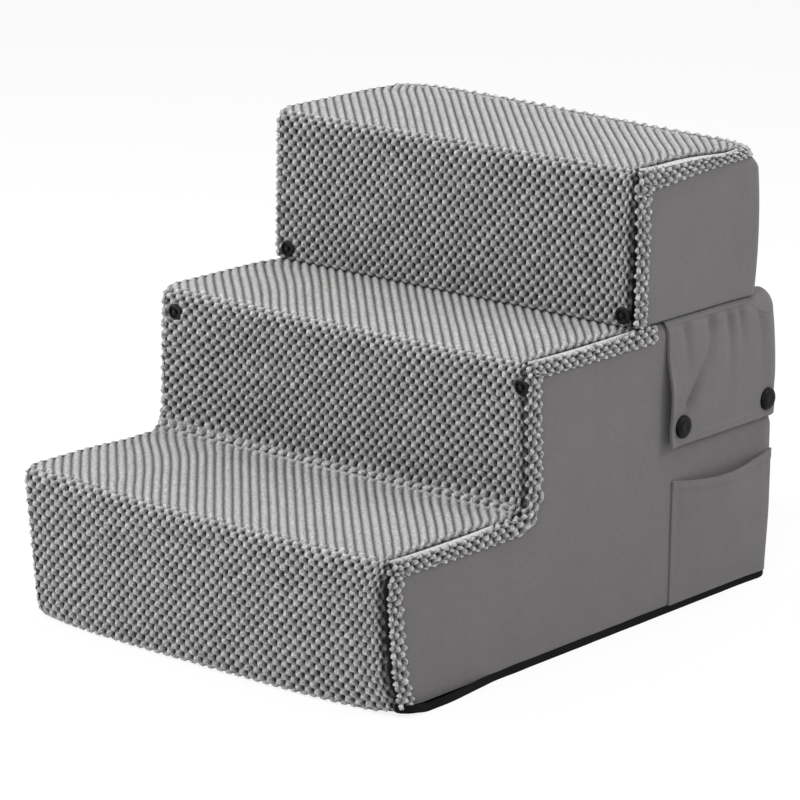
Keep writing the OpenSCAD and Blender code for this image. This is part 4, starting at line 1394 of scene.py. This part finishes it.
# Smooth cover of the block
panelRadius = block["rearRadius"] - (block["backY"] - block["panelBackY"])
blockFrontY = block["frontY"] + stair["plushDepth"]
blockRear = rearLine(stair["sideX"], blockFrontY, block["panelBackY"], panelRadius, cloth["column"])
footEdge, footZ = block["footRadius"], block["footZ"]
makeLid("block_foot_cover", blockRear, footEdge, footZ, -1, "block", "block_bottom_panel", 17.0)
blockLow = footZ + footEdge
blockHigh = block["topZ"] - 4
blockZipZ = middleZ("block_zip_teeth")
rearWall(
    "block_back_cover", blockRear, blockLow, blockHigh, blockZipZ, "block", "block_back_panel", 21.0
)
sideCount = blockRear.counts[0]
sideRows = wallRows(blockRear, [(0, z) for z in np.linspace(blockLow, blockHigh, 22)], 0, sideCount)
sideRows = stretch(sideRows, np.array([1.0, 0, 0]), 25.0)
flat = (float(blockRear.places[sideCount]) * mm, (blockHigh - blockLow) * mm)
for side, sign in (("right", 1), ("left", -1)):
    grid = sideRows * np.array([sign, 1, 1])
    piece, area = makeCloth(f"block_side_{side}_cover", [grid], sidewards(sign), cloth["thickness"])
    settle(piece, wovenFinish, "block", [f"block_side_panel_{side}"])
    min(area, flat[0] * flat[1])

# Foam: softened copies of the solids it fills
print("foam")
foam = {"voxel": 6.0, "smoothing": 6, "clear": 1.4}


def softCopy(name, node, body):
    piece = linkPiece(name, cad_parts[node].data.copy())
    cleanNormals(piece, merge=0.01)
    grown = piece.modifiers.new("cells", "REMESH")
    grown.mode = "VOXEL"
    grown.voxel_size = foam["voxel"] * mm
    relaxed = piece.modifiers.new("soft", "SMOOTH")
    relaxed.iterations = foam["smoothing"]
    drawn = piece.modifiers.new("clear", "DISPLACE")
    drawn.mid_level = 0.0
    drawn.strength = -foam["clear"] * mm
    bake(piece)
    piece.data.shade_smooth()
    settle(piece, foamFinish, body, [node])
    return piece


for name, body in (("lower_foam", "base"), ("middle_foam", "base"), ("block_foam", "block")):
    softCopy(f"{name}_slab", name, body)

# Black foot: a bound edge round the sides and the back, and a dotted non-slip sheet below
print("foot")
foot = {
    "proud": 0.9,
    "height": 7.4,
    "thickness": 2.6,
    "wave": 0.5,
    "frontOut": 6.6,
    "endIn": 3.0,
    "turnIn": 14,
    "sides": 14,
    "squareness": 0.6,
    "sheetZ": 1.0,
}


# The bound edge: a soft square bead along the foot
def footBinding():
    frontY = firstRiserY(0, 4)
    side, back, radius = stair["sideX"], stair["backY"], stair["rearRadius"]
    half = [(side - foot["turnIn"], frontY), (side, frontY), (side, back)]
    corners = half + [(-x, y) for x, y in half[::-1]]
    line = RoundedLine(lambda a: corners, lambda a: [5, radius, radius, 5], 4.0)
    points = line.at(0)
    count = len(points)
    directions = np.gradient(points, axis=0)
    directions /= np.linalg.norm(directions, axis=1)[:, None]
    outwards = np.column_stack([directions[:, 1], -directions[:, 0]])
    wave = np.array([noise.noise(Vector((p * 0.035, 4.0, 0))) for p in line.places]) * foot["wave"]
    nearFront = smooth(2, 16, line.places) * (1 - smooth(50, 140, line.places))
    ends = 1 - smooth(2, 14, np.minimum(line.places, line.places[-1] - line.places))
    rows = []
    sides = foot["sides"]
    for k in range(sides):
        angle = 2 * math.pi * k / sides
        c, s = math.cos(angle), math.sin(angle)
        broad = math.copysign(abs(c) ** foot["squareness"], c) * foot["thickness"] / 2
        tall = math.copysign(abs(s) ** foot["squareness"], s) * foot["height"] / 2
        out = broad + foot["proud"] - foot["thickness"] / 2 + wave
        out = out + foot["frontOut"] * nearFront - foot["endIn"] * ends
        high = max(tall + foot["height"] / 2, 0.02) + wave * (0.8 if s > 0.2 else 0)
        rows.append(np.column_stack([points + outwards * out[:, None], high]))
    rows = np.array(rows)
    around = gridPlace(rows)
    faces = []
    for k in range(sides):
        low = k * count
        high = (k + 1) % sides * count
        faces += [[low + i, low + i + 1, high + i + 1, high + i] for i in range(count - 1)]
    faces += [[k * count for k in range(sides)], [k * count + count - 1 for k in range(sides)][::-1]]
    piece = linkMesh("foot_binding", rows.reshape(-1, 3), faces, uv=around.reshape(-1, 2))
    cleanNormals(piece)
    settle(piece, nonSlipFinish, "base", ["anti_slip_base"])
    return piece


footBinding()
soleHalf = stair["sideX"] - 1
soleFrontY = firstRiserY(0, stair["plushDepth"])
soleLine = rearLine(soleHalf, soleFrontY, stair["backY"] - 1, stair["rearRadius"], 8.0)
soleRows = lidRows(soleLine, 0, foot["sheetZ"])
sole, soleArea = makeCloth("non_slip_sheet", [soleRows], upwards, 0.6)
settle(sole, nonSlipFinish, "base", ["anti_slip_base"])


# Grip dots in a grid
def dotTree():
    tree, start, end = newGrowth(
        "gripDots",
        {"Width": 0.36, "Depth": 0.46, "Columns": 26, "Rows": 33, "Dot": 0.0022, "Height": 0.0009},
    )
    sides = {"Size X": start["Width"], "Size Y": start["Depth"]}
    counts = {"Vertices X": start["Columns"], "Vertices Y": start["Rows"]}
    grid = put(tree, "GeometryNodeMeshGrid", {**sides, **counts}).outputs[0]
    ball = put(tree, "GeometryNodeMeshUVSphere", {"Segments": 8, "Rings": 5, "Radius": 1.0}).outputs[0]
    sizes = {0: start["Dot"], 1: start["Dot"], 2: start["Height"]}
    size = put(tree, "ShaderNodeCombineXYZ", sizes).outputs[0]
    return finishTree(tree, start, end, copiesOn(tree, grid, ball, Scale=size))


dots = linkMesh("grip_dots", [(0, 0, 0)], [])
soleDepth = float(soleLine.at(0)[:, 1].max() - soleLine.at(0)[:, 1].min())
dotField = {"Width": 366 * mm, "Depth": (soleDepth - 34) * mm, "Columns": 27, "Rows": 35}
growWith(dots, dotTree(), {**dotField, "Material": gripFinish})
dots.data.transform(Matrix.Translation((0, (soleFrontY + soleDepth / 2) * mm, 0.9 * mm)))
settle(dots, gripFinish, "base")
min(soleArea, 2 * soleHalf * soleDepth * mm * mm)

# Pocket and flaps
print("pocket and flaps")


# Point and outward direction of the base's side in plan, at arc length s behind y = start
def sideAt(start, s):
    radius = stair["rearRadius"]
    flatPart = stair["backY"] - radius - start
    if s <= flatPart:
        return np.array([stair["sideX"], start + s]), np.array([1.0, 0.0])
    t = (s - flatPart) / radius
    out = np.array([math.cos(t), math.sin(t)])
    return np.array([stair["sideX"] - radius, stair["backY"] - radius]) + radius * out, out


# A closed sheet of cloth between an outer and an inner grid, with painted shade as its fold value where
# given
def makeLeaf(name, outer, inner, fold=None):
    m, n = outer.shape[:2]
    place = gridPlace(outer).reshape(-1, 2)
    faces = gridFaces(m, n) + [f[::-1] for f in gridFaces(m, n, m * n)]
    rim = [i * n for i in range(m)] + [(m - 1) * n + j for j in range(1, n)]
    rim += [i * n + n - 1 for i in range(m - 2, -1, -1)] + list(range(n - 2, 0, -1))
    faces += [[a, b, b + m * n, a + m * n] for a, b in zip(rim, rim[1:] + rim[:1])]
    points = np.concatenate([outer.reshape(-1, 3), inner.reshape(-1, 3)])
    shades = None if fold is None else np.concatenate([fold.ravel(), fold.ravel()])
    piece = linkMesh(name, points, faces, uv=np.concatenate([place, place]), fold=shades)
    cleanNormals(piece)
    piece.data.set_sharp_from_angle(angle=clothMake["sharpAngle"])
    return piece


pocket = {
    "frontY": boxOf("pocket_right")[0][1],
    "topZ": boxOf("pocket_right")[1][2],
    "sag": 7,
    "room": 7.5,
    "thickness": 1.6,
    "wrap": 9,
    "seat": 0.3,
    "margin": 0.06,
    "hem": 9,
    "cols": 90,
    "rows": 60,
}
pocketLength = stair["backY"] - stair["rearRadius"] - pocket["frontY"] + pocket["wrap"]


# A point of the pocket at shares u of its width and v of its height
def pocketPoint(u, v, out):
    at, direction = sideAt(pocket["frontY"], u * pocketLength)
    top = pocket["topZ"] - pocket["sag"] * math.sin(math.pi * u)
    w = min(max((u - pocket["margin"]) / (1 - 2 * pocket["margin"]), 0), 1)
    h = max((v - pocket["margin"]) / (1 - pocket["margin"]), 0)
    swell = pocket["room"] * min(1, math.sin(math.pi * w) ** 0.7) * min(1, 0.4 * math.sqrt(h) + 0.75 * h)
    fold = 0.6 * math.sin(9 * u + 1.5 * v) * math.sin(math.pi * w) * smooth(0, 0.3, v) * (1 - 0.6 * v)
    z = stair["rimTop"] + (top - stair["rimTop"]) * v
    hem = 0.5 * smooth(pocket["hem"] + 0.6, pocket["hem"] - 0.6, (top - z))
    place = at + direction * (pocket["seat"] + swell + fold + out + (hem if out > 0 else 0))
    return (place[0], place[1], z)


def pocketGrid(out):
    us = np.linspace(0, 1, pocket["cols"])
    vs = np.linspace(0, 1, pocket["rows"])
    return np.array([[pocketPoint(u, v, out) for u in us] for v in vs])


pocketOuter = pocketGrid(pocket["thickness"])
pocketPiece = makeLeaf("pocket_cover", pocketOuter, pocketGrid(0))
settle(pocketPiece, wovenFinish, "base", ["pocket_right"])

flap = {
    "frontY": boxOf("flap_right")[0][1],
    "drop": stair["deckZ"] - boxOf("flap_right")[0][2],
    "thickness": 2.0,
    "hem": 8.0,
    "frontHem": 5.0,
    "belly": 3.6,
    "wrapAngle": 66,
    "foldAngle": 32,
    "foldOut": 1.95,
    "hangOut": 2.6,
    "wrapOut": 1.7,
    "studOut": 5.2,
    "studFlat": 9,
    "studReach": 24,
    "studDrop": 94,
    "frontStud": 19,
    "rearStud": 17,
    "crease": 6.0,
    "creaseWidth": 5.0,
    # Painted shade in the valleys of the gathers and the crease
    "paintedShade": 0.26,
    "creaseShade": 0.3,
    "creaseLength": 74,
    "creaseLean": 33,
    "rearCrease": 1.2,
    "sewnEnd": 34,
    "cornerDrop": 4,
    "hemProud": 0.8,
    "edgeLift": 6.0,
    "cols": 100,
    "rows": 76,
}
# Gathers below the fold: place along it, depth, length, width and drift to the side
puckers = [
    (24, 4.6, 20, 6, 0.1),
    (62, 6.4, 18, 6.5, -0.1),
    (88, 4.8, 28, 5.5, 0.0),
    (105, 5.0, 17, 5.5, 0.05),
    (136, 3.0, 32, 7, 0),
]
edgeRadius = stair["deckEdgeRadius"]
flapFlat = stair["backY"] - stair["rearRadius"] - flap["frontY"]
flapLength = flapFlat + stair["rearRadius"] * math.radians(flap["wrapAngle"])
flapHang = flap["drop"] - edgeRadius


# How far the flap is still sewn down at arc length s, from 1 at the front to 0 at the corner
def sewnShare(s):
    return 1 - smooth(flapFlat - flap["sewnEnd"], flapFlat, s)


def studArc(y):
    radius = stair["rearRadius"]
    past = y - stair["backY"] + radius
    if past <= 0:
        return y - flap["frontY"]
    return flapFlat + math.asin(past / radius) * radius


studArcs = [flap["frontStud"], studArc(stair["backY"] - flap["rearStud"])]
studFall = flap["studDrop"] - edgeRadius


def foldArc(s):
    return (edgeRadius + flap["foldOut"]) * math.radians(flap["foldAngle"]) * sewnShare(s)


# How far the leaf hangs off the side, more at its studs, and the distance to the nearest stud
def flapOut(s, fall):
    free = flap["hangOut"] + (flap["wrapOut"] - flap["hangOut"]) * smooth(flapFlat, flapLength, s)
    gone = min(math.hypot(s - a, fall - studFall) for a in studArcs)
    near = 1 - smooth(flap["studFlat"], flap["studReach"], gone)
    return free + (flap["studOut"] - free) * near, gone


# How deep the creases and gathers are at a point, and the painted shade in their valleys
def flapFolds(s, fall, travel):
    along, down = s - studArcs[0], fall - studFall
    lean = math.radians(flap["creaseLean"])
    beside = (along * math.cos(lean) + down * math.sin(lean)) / flap["creaseWidth"]
    crease = math.exp(-(beside**2))
    left = max(1 - math.hypot(along, down) / flap["creaseLength"], 0)
    reach = left**0.6 * float(smooth(4, -6, down))
    depth = 0.0
    dark = 0.0
    for place, deep, long, broad, drift in puckers:
        across = (s - place - drift * travel) / broad
        fade = math.exp(-travel / long) * float(smooth(0, 8, travel))
        depth += deep * (math.exp(-(across**2)) - 0.45 * math.exp(-((across / 2.4) ** 2))) * fade
        dark += flap["paintedShade"] * deep / 5 * math.exp(-((across - 0.4) ** 2)) * math.exp(-travel / long)
    dark += flap["creaseShade"] * crease * reach
    return crease * reach, depth, dark


def flapSwell(s, fall, travel, gone):
    u, v = s / flapLength, fall / flapHang
    crease, gathered, dark = flapFolds(s, fall, travel)
    belly = flap["belly"] * float(smooth(0, 0.3, u)) * max(math.sin(math.pi * 0.8 * max(v, 0)), 0)
    lift = flap["edgeLift"] * math.exp(-s / 14) * float(smooth(0.12, 0.55, v))
    free = float(smooth(flap["studFlat"], flap["studReach"], gone))
    beside = math.exp(-(((s - studArcs[1] + 9) / 3) ** 2))
    dent = flap["rearCrease"] * beside * float(smooth(-6, 4, fall - studFall))
    return free * (belly - flap["crease"] * crease) - gathered - dent + lift * free


# A point of the leaf at arc length s, after some travel from the crease, and out from its middle
def flapPoint(s, travel, out):
    at, direction = sideAt(flap["frontY"], s)
    low = (1 - sewnShare(s)) * flap["cornerDrop"]
    arc = foldArc(s)
    angle = (arc - travel) / (edgeRadius + flap["foldOut"]) if travel < arc else 0.0
    fall = max(travel - arc, 0)
    wanted, gone = flapOut(s, fall)
    reach = flap["foldOut"] + (wanted - flap["foldOut"]) * smooth(0, edgeRadius, fall)
    ring = edgeRadius + reach + out
    away = ring * math.cos(angle) - edgeRadius + flapSwell(s, fall, travel, gone)
    place = at + direction * away
    return (place[0], place[1], stair["deckZ"] - edgeRadius + ring * math.sin(angle) - fall - low)


# The leaf's length from the crease to its lower edge at arc length s
def flapTotal(s):
    return foldArc(s) + flapHang - (1 - sewnShare(s)) * flap["cornerDrop"]


def flapGrid(out, hemmed):
    rows = []
    for t in np.linspace(0, 1, flap["rows"]):
        row = []
        for s in np.linspace(0, flapLength, flap["cols"]):
            total = flapTotal(s)
            left = total * (1 - t)
            extra = flap["hemProud"] * float(smooth(flap["hem"] + 0.7, flap["hem"] - 0.7, left))
            extra = max(extra, 0.5 * float(smooth(flap["frontHem"] + 0.7, flap["frontHem"] - 0.7, s)))
            row.append(flapPoint(s, total * t, out + (extra if hemmed else 0)))
        rows.append(row)
    return np.array(rows)


def flapShade(s, travel):
    return min(flapFolds(s, travel - foldArc(s), travel)[2], 0.5)


flapOuter = flapGrid(flap["thickness"] / 2, True)
# Painted shade in the flap's puckers and crease, stored as the leaf's fold value
flapFoldShade = np.array(
    [
        [flapShade(s, flapTotal(s) * t) for s in np.linspace(0, flapLength, flap["cols"])]
        for t in np.linspace(0, 1, flap["rows"])
    ]
)
flapPiece = makeLeaf("flap_right_cover", flapOuter, flapGrid(-flap["thickness"] / 2, False), flapFoldShade)
otherFlap = mirrored(flapPiece, "flap_left_cover")
settle(flapPiece, wovenFinish, "flap_right", ["flap_right"])
settle(otherFlap, wovenFinish, "flap_left", ["flap_left"])

# The cloth between the block's foot and the flap's fold: it ends on the deck, under the block
collar = {
    "steps": 12,
    "under": 62,
    "open": 100,
    "underOut": 1.1,
    "openOut": 0.4,
    "gap": 0.15,
    "arch": 0.4,
    "thickness": 1.0,
}


def collarRows(sign):
    rows = []
    blockEnd = block["panelBackY"] - 6 - flap["frontY"]
    for t in np.linspace(0, 1, collar["steps"]):
        row = []
        for s in np.linspace(0, flapLength, flap["cols"]):
            at, direction = sideAt(flap["frontY"], s)
            bare = float(smooth(blockEnd, blockEnd + 20, s))
            begin = math.radians(flap["foldAngle"]) * sewnShare(s) + collar["gap"] / edgeRadius
            end = math.radians(collar["under"] + (collar["open"] - collar["under"]) * bare)
            angle = begin + (end - begin) * t
            top = collar["underOut"] + (collar["openOut"] - collar["underOut"]) * bare
            off = flap["foldOut"] + flap["thickness"] / 2
            arch = collar["arch"] * math.sin(math.pi * t) * (1 - bare)
            ring = edgeRadius + off + (top - off) * float(smooth(0.55, 1, t)) + arch
            low = (1 - sewnShare(s)) * flap["cornerDrop"] * (1 - t)
            place = at + direction * (ring * math.cos(angle) - edgeRadius)
            z = stair["deckZ"] - edgeRadius + ring * math.sin(angle) - low
            row.append((place[0] * sign, place[1], z))
        rows.append(row)
    return np.array(rows)


collarGrids = [collarRows(1), collarRows(-1)]
collarFace = lambda place: Vector((math.copysign(0.5, place[0]), 0, 1))
collars = makeCloth("flap_seam_cover", collarGrids, collarFace, collar["thickness"])[0]
settle(collars, wovenFinish, "base", ["flap_seam_strips"])


# Stitches: short threads along a sewn line
def stitchTree():
    sizes = {"Step": 0.0034, "Length": 0.0013, "Thread": 0.00028}
    tree, start, end = newGrowth("stitches", sizes)
    line = put(tree, "GeometryNodeMeshToCurve", {"Mesh": start["Geometry"]})
    spacing = {"Curve": line.outputs[0], "Length": start["Step"]}
    even = put(tree, "GeometryNodeResampleCurve", spacing, mode="LENGTH").outputs[0]
    tangent = put(tree, "GeometryNodeInputTangent").outputs[0]
    turned = put(tree, "FunctionNodeAlignRotationToVector", {"Vector": tangent}, axis="X").outputs[0]
    ball = {"Segments": 6, "Rings": 4, "Radius": 1.0}
    thread = put(tree, "GeometryNodeMeshUVSphere", ball).outputs[0]
    axes = {0: start["Length"], 1: start["Thread"], 2: start["Thread"]}
    size = put(tree, "ShaderNodeCombineXYZ", axes).outputs[0]
    return finishTree(tree, start, end, copiesOn(tree, even, thread, Rotation=turned, Scale=size))


stitches = stitchTree()


# Stitches along lines of points
def sew(name, lines, body):
    points, edges = [], []
    for line in lines:
        start = len(points)
        points += [tuple(p) for p in line]
        edges += [(start + i, start + i + 1) for i in range(len(line) - 1)]
    mesh = bpy.data.meshes.new(name)
    mesh.from_pydata((np.array(points) * mm).tolist(), edges, [])
    piece = linkPiece(name, mesh)
    growWith(piece, stitches, {"Material": threadFinish})
    if not piece.data.uv_layers:
        piece.data.uv_layers.new(name="cloth")
    return settle(piece, threadFinish, body)


def flapStitches():
    out = flap["thickness"] / 2
    hemLine = [
        flapPoint(s, flapTotal(s) - flap["hem"] + 1.6, out + flap["hemProud"] + 0.1)
        for s in np.linspace(3, flapLength - 3, 90)
    ]
    frontLine = [
        flapPoint(flap["frontHem"] - 1.2, flapTotal(0) * t, out + 0.6) for t in np.linspace(0.04, 0.9, 60)
    ]
    return [hemLine, frontLine]


def pocketStitches():
    proud = pocket["thickness"] + 0.1
    mouth = [
        pocketPoint(u, 1 - (pocket["hem"] - 1.4) / (pocket["topZ"] - stair["rimTop"]), proud + 0.5)
        for u in np.linspace(0.02, 0.98, 90)
    ]
    front = [pocketPoint(0.018, v, proud) for v in np.linspace(0.02, 0.98, 60)]
    return [mouth, front]


flapLines = flapStitches()
rightThread = sew("flap_right_stitches", flapLines, "flap_right")
leftLines = [np.array(line) * np.array([-1, 1, 1]) for line in flapLines]
leftThread = sew("flap_left_stitches", leftLines, "flap_left")
pocketThread = sew("pocket_stitches", pocketStitches(), "base")

# Zips: coil teeth grown along the line, and woven tapes beside them
print("zips")


def coilTree():
    sizes = {"Count": 200, "Pitch": 0.0016, "Loop": (0.0006, 0.0012, 0.0012), "Row gap": 0.002}
    tree, start, end = newGrowth("zipCoil", sizes)
    step = put(tree, "ShaderNodeCombineXYZ", {0: start["Pitch"]}).outputs[0]
    ball = {"Segments": 8, "Rings": 5, "Radius": 1.0}
    loop = put(tree, "GeometryNodeMeshUVSphere", ball).outputs[0]
    rows = put(tree, "GeometryNodeJoinGeometry")
    for sign in (-1, 1):
        half = maths(tree, "MULTIPLY", start["Pitch"], 0.25 * sign)
        high = maths(tree, "MULTIPLY", start["Row gap"], 0.5 * sign)
        first = put(tree, "ShaderNodeCombineXYZ", {0: half, 2: high}).outputs[0]
        places = {"Count": start["Count"], "Start Location": first, "Offset": step}
        line = put(tree, "GeometryNodeMeshLine", places).outputs[0]
        spread = copiesOn(tree, line, loop, Scale=start["Loop"])
        tree.links.new(spread, rows.inputs[0])
    return finishTree(tree, start, end, rows.outputs[0])


zipCoil = coilTree()
zipLook = {"pitch": 1.6, "loop": (0.62, 1.2, 1.15), "rowGap": 4.0, "tapeHalf": 14, "tapeThickness": 0.7}

for name, body in (("base_zip", "base"), ("block_zip", "block")):
    low, high = boxOf(f"{name}_teeth")
    coil = linkMesh(f"{name}_coil", [(0, 0, 0)], [])
    count = int((high[0] - low[0]) / zipLook["pitch"])
    loop = tuple(v * mm for v in zipLook["loop"])
    values = {"Count": count, "Loop": loop, "Material": teethFinish}
    values |= {"Pitch": zipLook["pitch"] * mm, "Row gap": zipLook["rowGap"] * mm}
    growWith(coil, zipCoil, values)
    middle = (low + high) / 2
    begin = Vector(((low[0] + 1) * mm, middle[1] * mm, middle[2] * mm))
    coil.data.transform(Matrix.Translation(begin))
    coil.data.shade_smooth()
    settle(coil, teethFinish, body, [f"{name}_teeth"])
    tapeLow, tapeHigh = boxOf(f"{name}_tape")
    strips = []
    for sign in (-1, 1):
        across = np.linspace(1.0, zipLook["tapeHalf"], 10) * sign
        along = np.linspace(tapeLow[0], tapeHigh[0], 120)
        rows = np.array([[(x, tapeHigh[1], middle[2] + z) for x in along] for z in across])
        rows[..., 1] += 0.25 * ripple(rows, 18, 31.0) - 0.2
        strips.append(rows)
    tape, area = makeCloth(f"{name}_tape_cover", strips, rearwards, zipLook["tapeThickness"])
    settle(tape, zipTapeFinish, body, [f"{name}_tape"])
    flat = ((tapeHigh[0] - tapeLow[0]) * mm, 2 * (zipLook["tapeHalf"] - 1) * mm)
    cut = min(area, flat[0] * flat[1])

# Finishes of the rigid pieces that stay as they are
kept = {
    "side_stud_backs": washerFinish,
    **dict.fromkeys(["side_studs", "riser_2_studs", "block_studs"], studFinish),
    **dict.fromkeys(["flap_right_sockets", "flap_left_sockets"], studFinish),
    **dict.fromkeys(["flap_right_caps", "flap_left_caps"], capFinish),
    **dict.fromkeys(["base_zip_stops", "block_zip_stops"], teethFinish),
    **dict.fromkeys(["base_zip_slider", "block_zip_slider"], pullFinish),
    **dict.fromkeys(["base_zip_pull", "block_zip_pull"], pullFinish),
}
for node, finish in kept.items():
    paint(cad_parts[node], finish)

# Floor, backdrop, light and camera
print("studio")
studio = {"floorSize": 6.0, "ambient": 0.42, "glow": 1.06, "glowShare": 0.8, "aim": (0, 0, 0.2)}
lamps = {
    "key": {"place": (-1.7, -1.2, 1.9), "size": 0.7, "power": 41},
    "fill": {"place": (1.6, -3.2, 1.8), "size": 0.9, "power": 40},
    "top": {"place": (0.6, 0.5, 3.4), "size": 2.0, "power": 38},
    "side": {"place": (1.6, 0.8, 1.3), "size": 0.7, "power": 12},
}


# True for rays that show a surface, rather than light others with it
def seenRays(tree):
    rays = put(tree, "ShaderNodeLightPath").outputs
    through = maths(tree, "MAXIMUM", rays["Is Glossy Ray"], rays["Is Transmission Ray"])
    return maths(tree, "MAXIMUM", rays["Is Camera Ray"], through)


def floorMaterial():
    made = bpy.data.materials.new("paleFloor")
    made.use_nodes = True
    tree = made.node_tree
    tree.nodes.clear()
    seen = seenRays(tree)
    matt = put(tree, "ShaderNodeBsdfDiffuse", {"Color": (0.8, 0.8, 0.8, 1)}).outputs[0]
    glow = put(tree, "ShaderNodeEmission", {"Color": (1, 1, 1, 1), "Strength": studio["glow"]}).outputs[0]
    both = put(tree, "ShaderNodeMixShader", {0: studio["glowShare"], 1: matt, 2: glow}).outputs[0]
    chosen = put(tree, "ShaderNodeMixShader", {0: seen, 1: matt, 2: both}).outputs[0]
    put(tree, "ShaderNodeOutputMaterial", {"Surface": chosen})
    return made


half = studio["floorSize"] / 2 / mm
floorCorners = [(-half, -half, 0), (half, -half, 0), (half, half, 0), (-half, half, 0)]
floor = linkMesh("floor", floorCorners, [[0, 1, 2, 3]])
floor.data.materials.append(floorMaterial())

world = bpy.data.worlds.new("studio")
bpy.context.scene.world = world
world.use_nodes = True
sky = world.node_tree
sky.nodes.clear()
seen = seenRays(sky)
soft = put(sky, "ShaderNodeBackground", {"Color": (1, 1, 1, 1), "Strength": studio["ambient"]}).outputs[0]
white = put(sky, "ShaderNodeBackground", {"Color": (1, 1, 1, 1), "Strength": 1.0}).outputs[0]
shown = put(sky, "ShaderNodeMixShader", {0: seen, 1: soft, 2: white}).outputs[0]
put(sky, "ShaderNodeOutputWorld", {"Surface": shown})

for name, look in lamps.items():
    lamp = bpy.data.lights.new(name, "AREA")
    lamp.shape = "DISK"
    lamp.size = look["size"]
    lamp.energy = look["power"]
    holder = linkPiece(name, lamp)
    holder.location = look["place"]
    holder.rotation_mode = "QUATERNION"
    toAim = Vector(studio["aim"]) - Vector(look["place"])
    holder.rotation_quaternion = toAim.to_track_quat("-Z", "Y")

view = {
    "place": (2.1048, -2.6012, 1.0677),
    "back": (0.60978, -0.74953, 0.25764),
    "roll": 0.84,
    "lens": 182.1,
    "sensor": 36.0,
}
back = Vector(view["back"]).normalized()
right = Vector((0, 0, 1)).cross(back).normalized()
up = back.cross(right)
roll = math.radians(view["roll"])
rolledRight = right * math.cos(roll) + up * math.sin(roll)
rolledUp = up * math.cos(roll) - right * math.sin(roll)
camera = linkPiece("camera", bpy.data.cameras.new("camera"))
camera.data.lens = view["lens"]
camera.data.sensor_width = view["sensor"]
camera.data.sensor_fit = "HORIZONTAL"
turned = Matrix([rolledRight, rolledUp, back]).transposed().to_4x4()
camera.matrix_world = Matrix.Translation(view["place"]) @ turned
bpy.context.scene.camera = camera
bpy.context.scene.view_settings.view_transform = "Standard"

print("done")
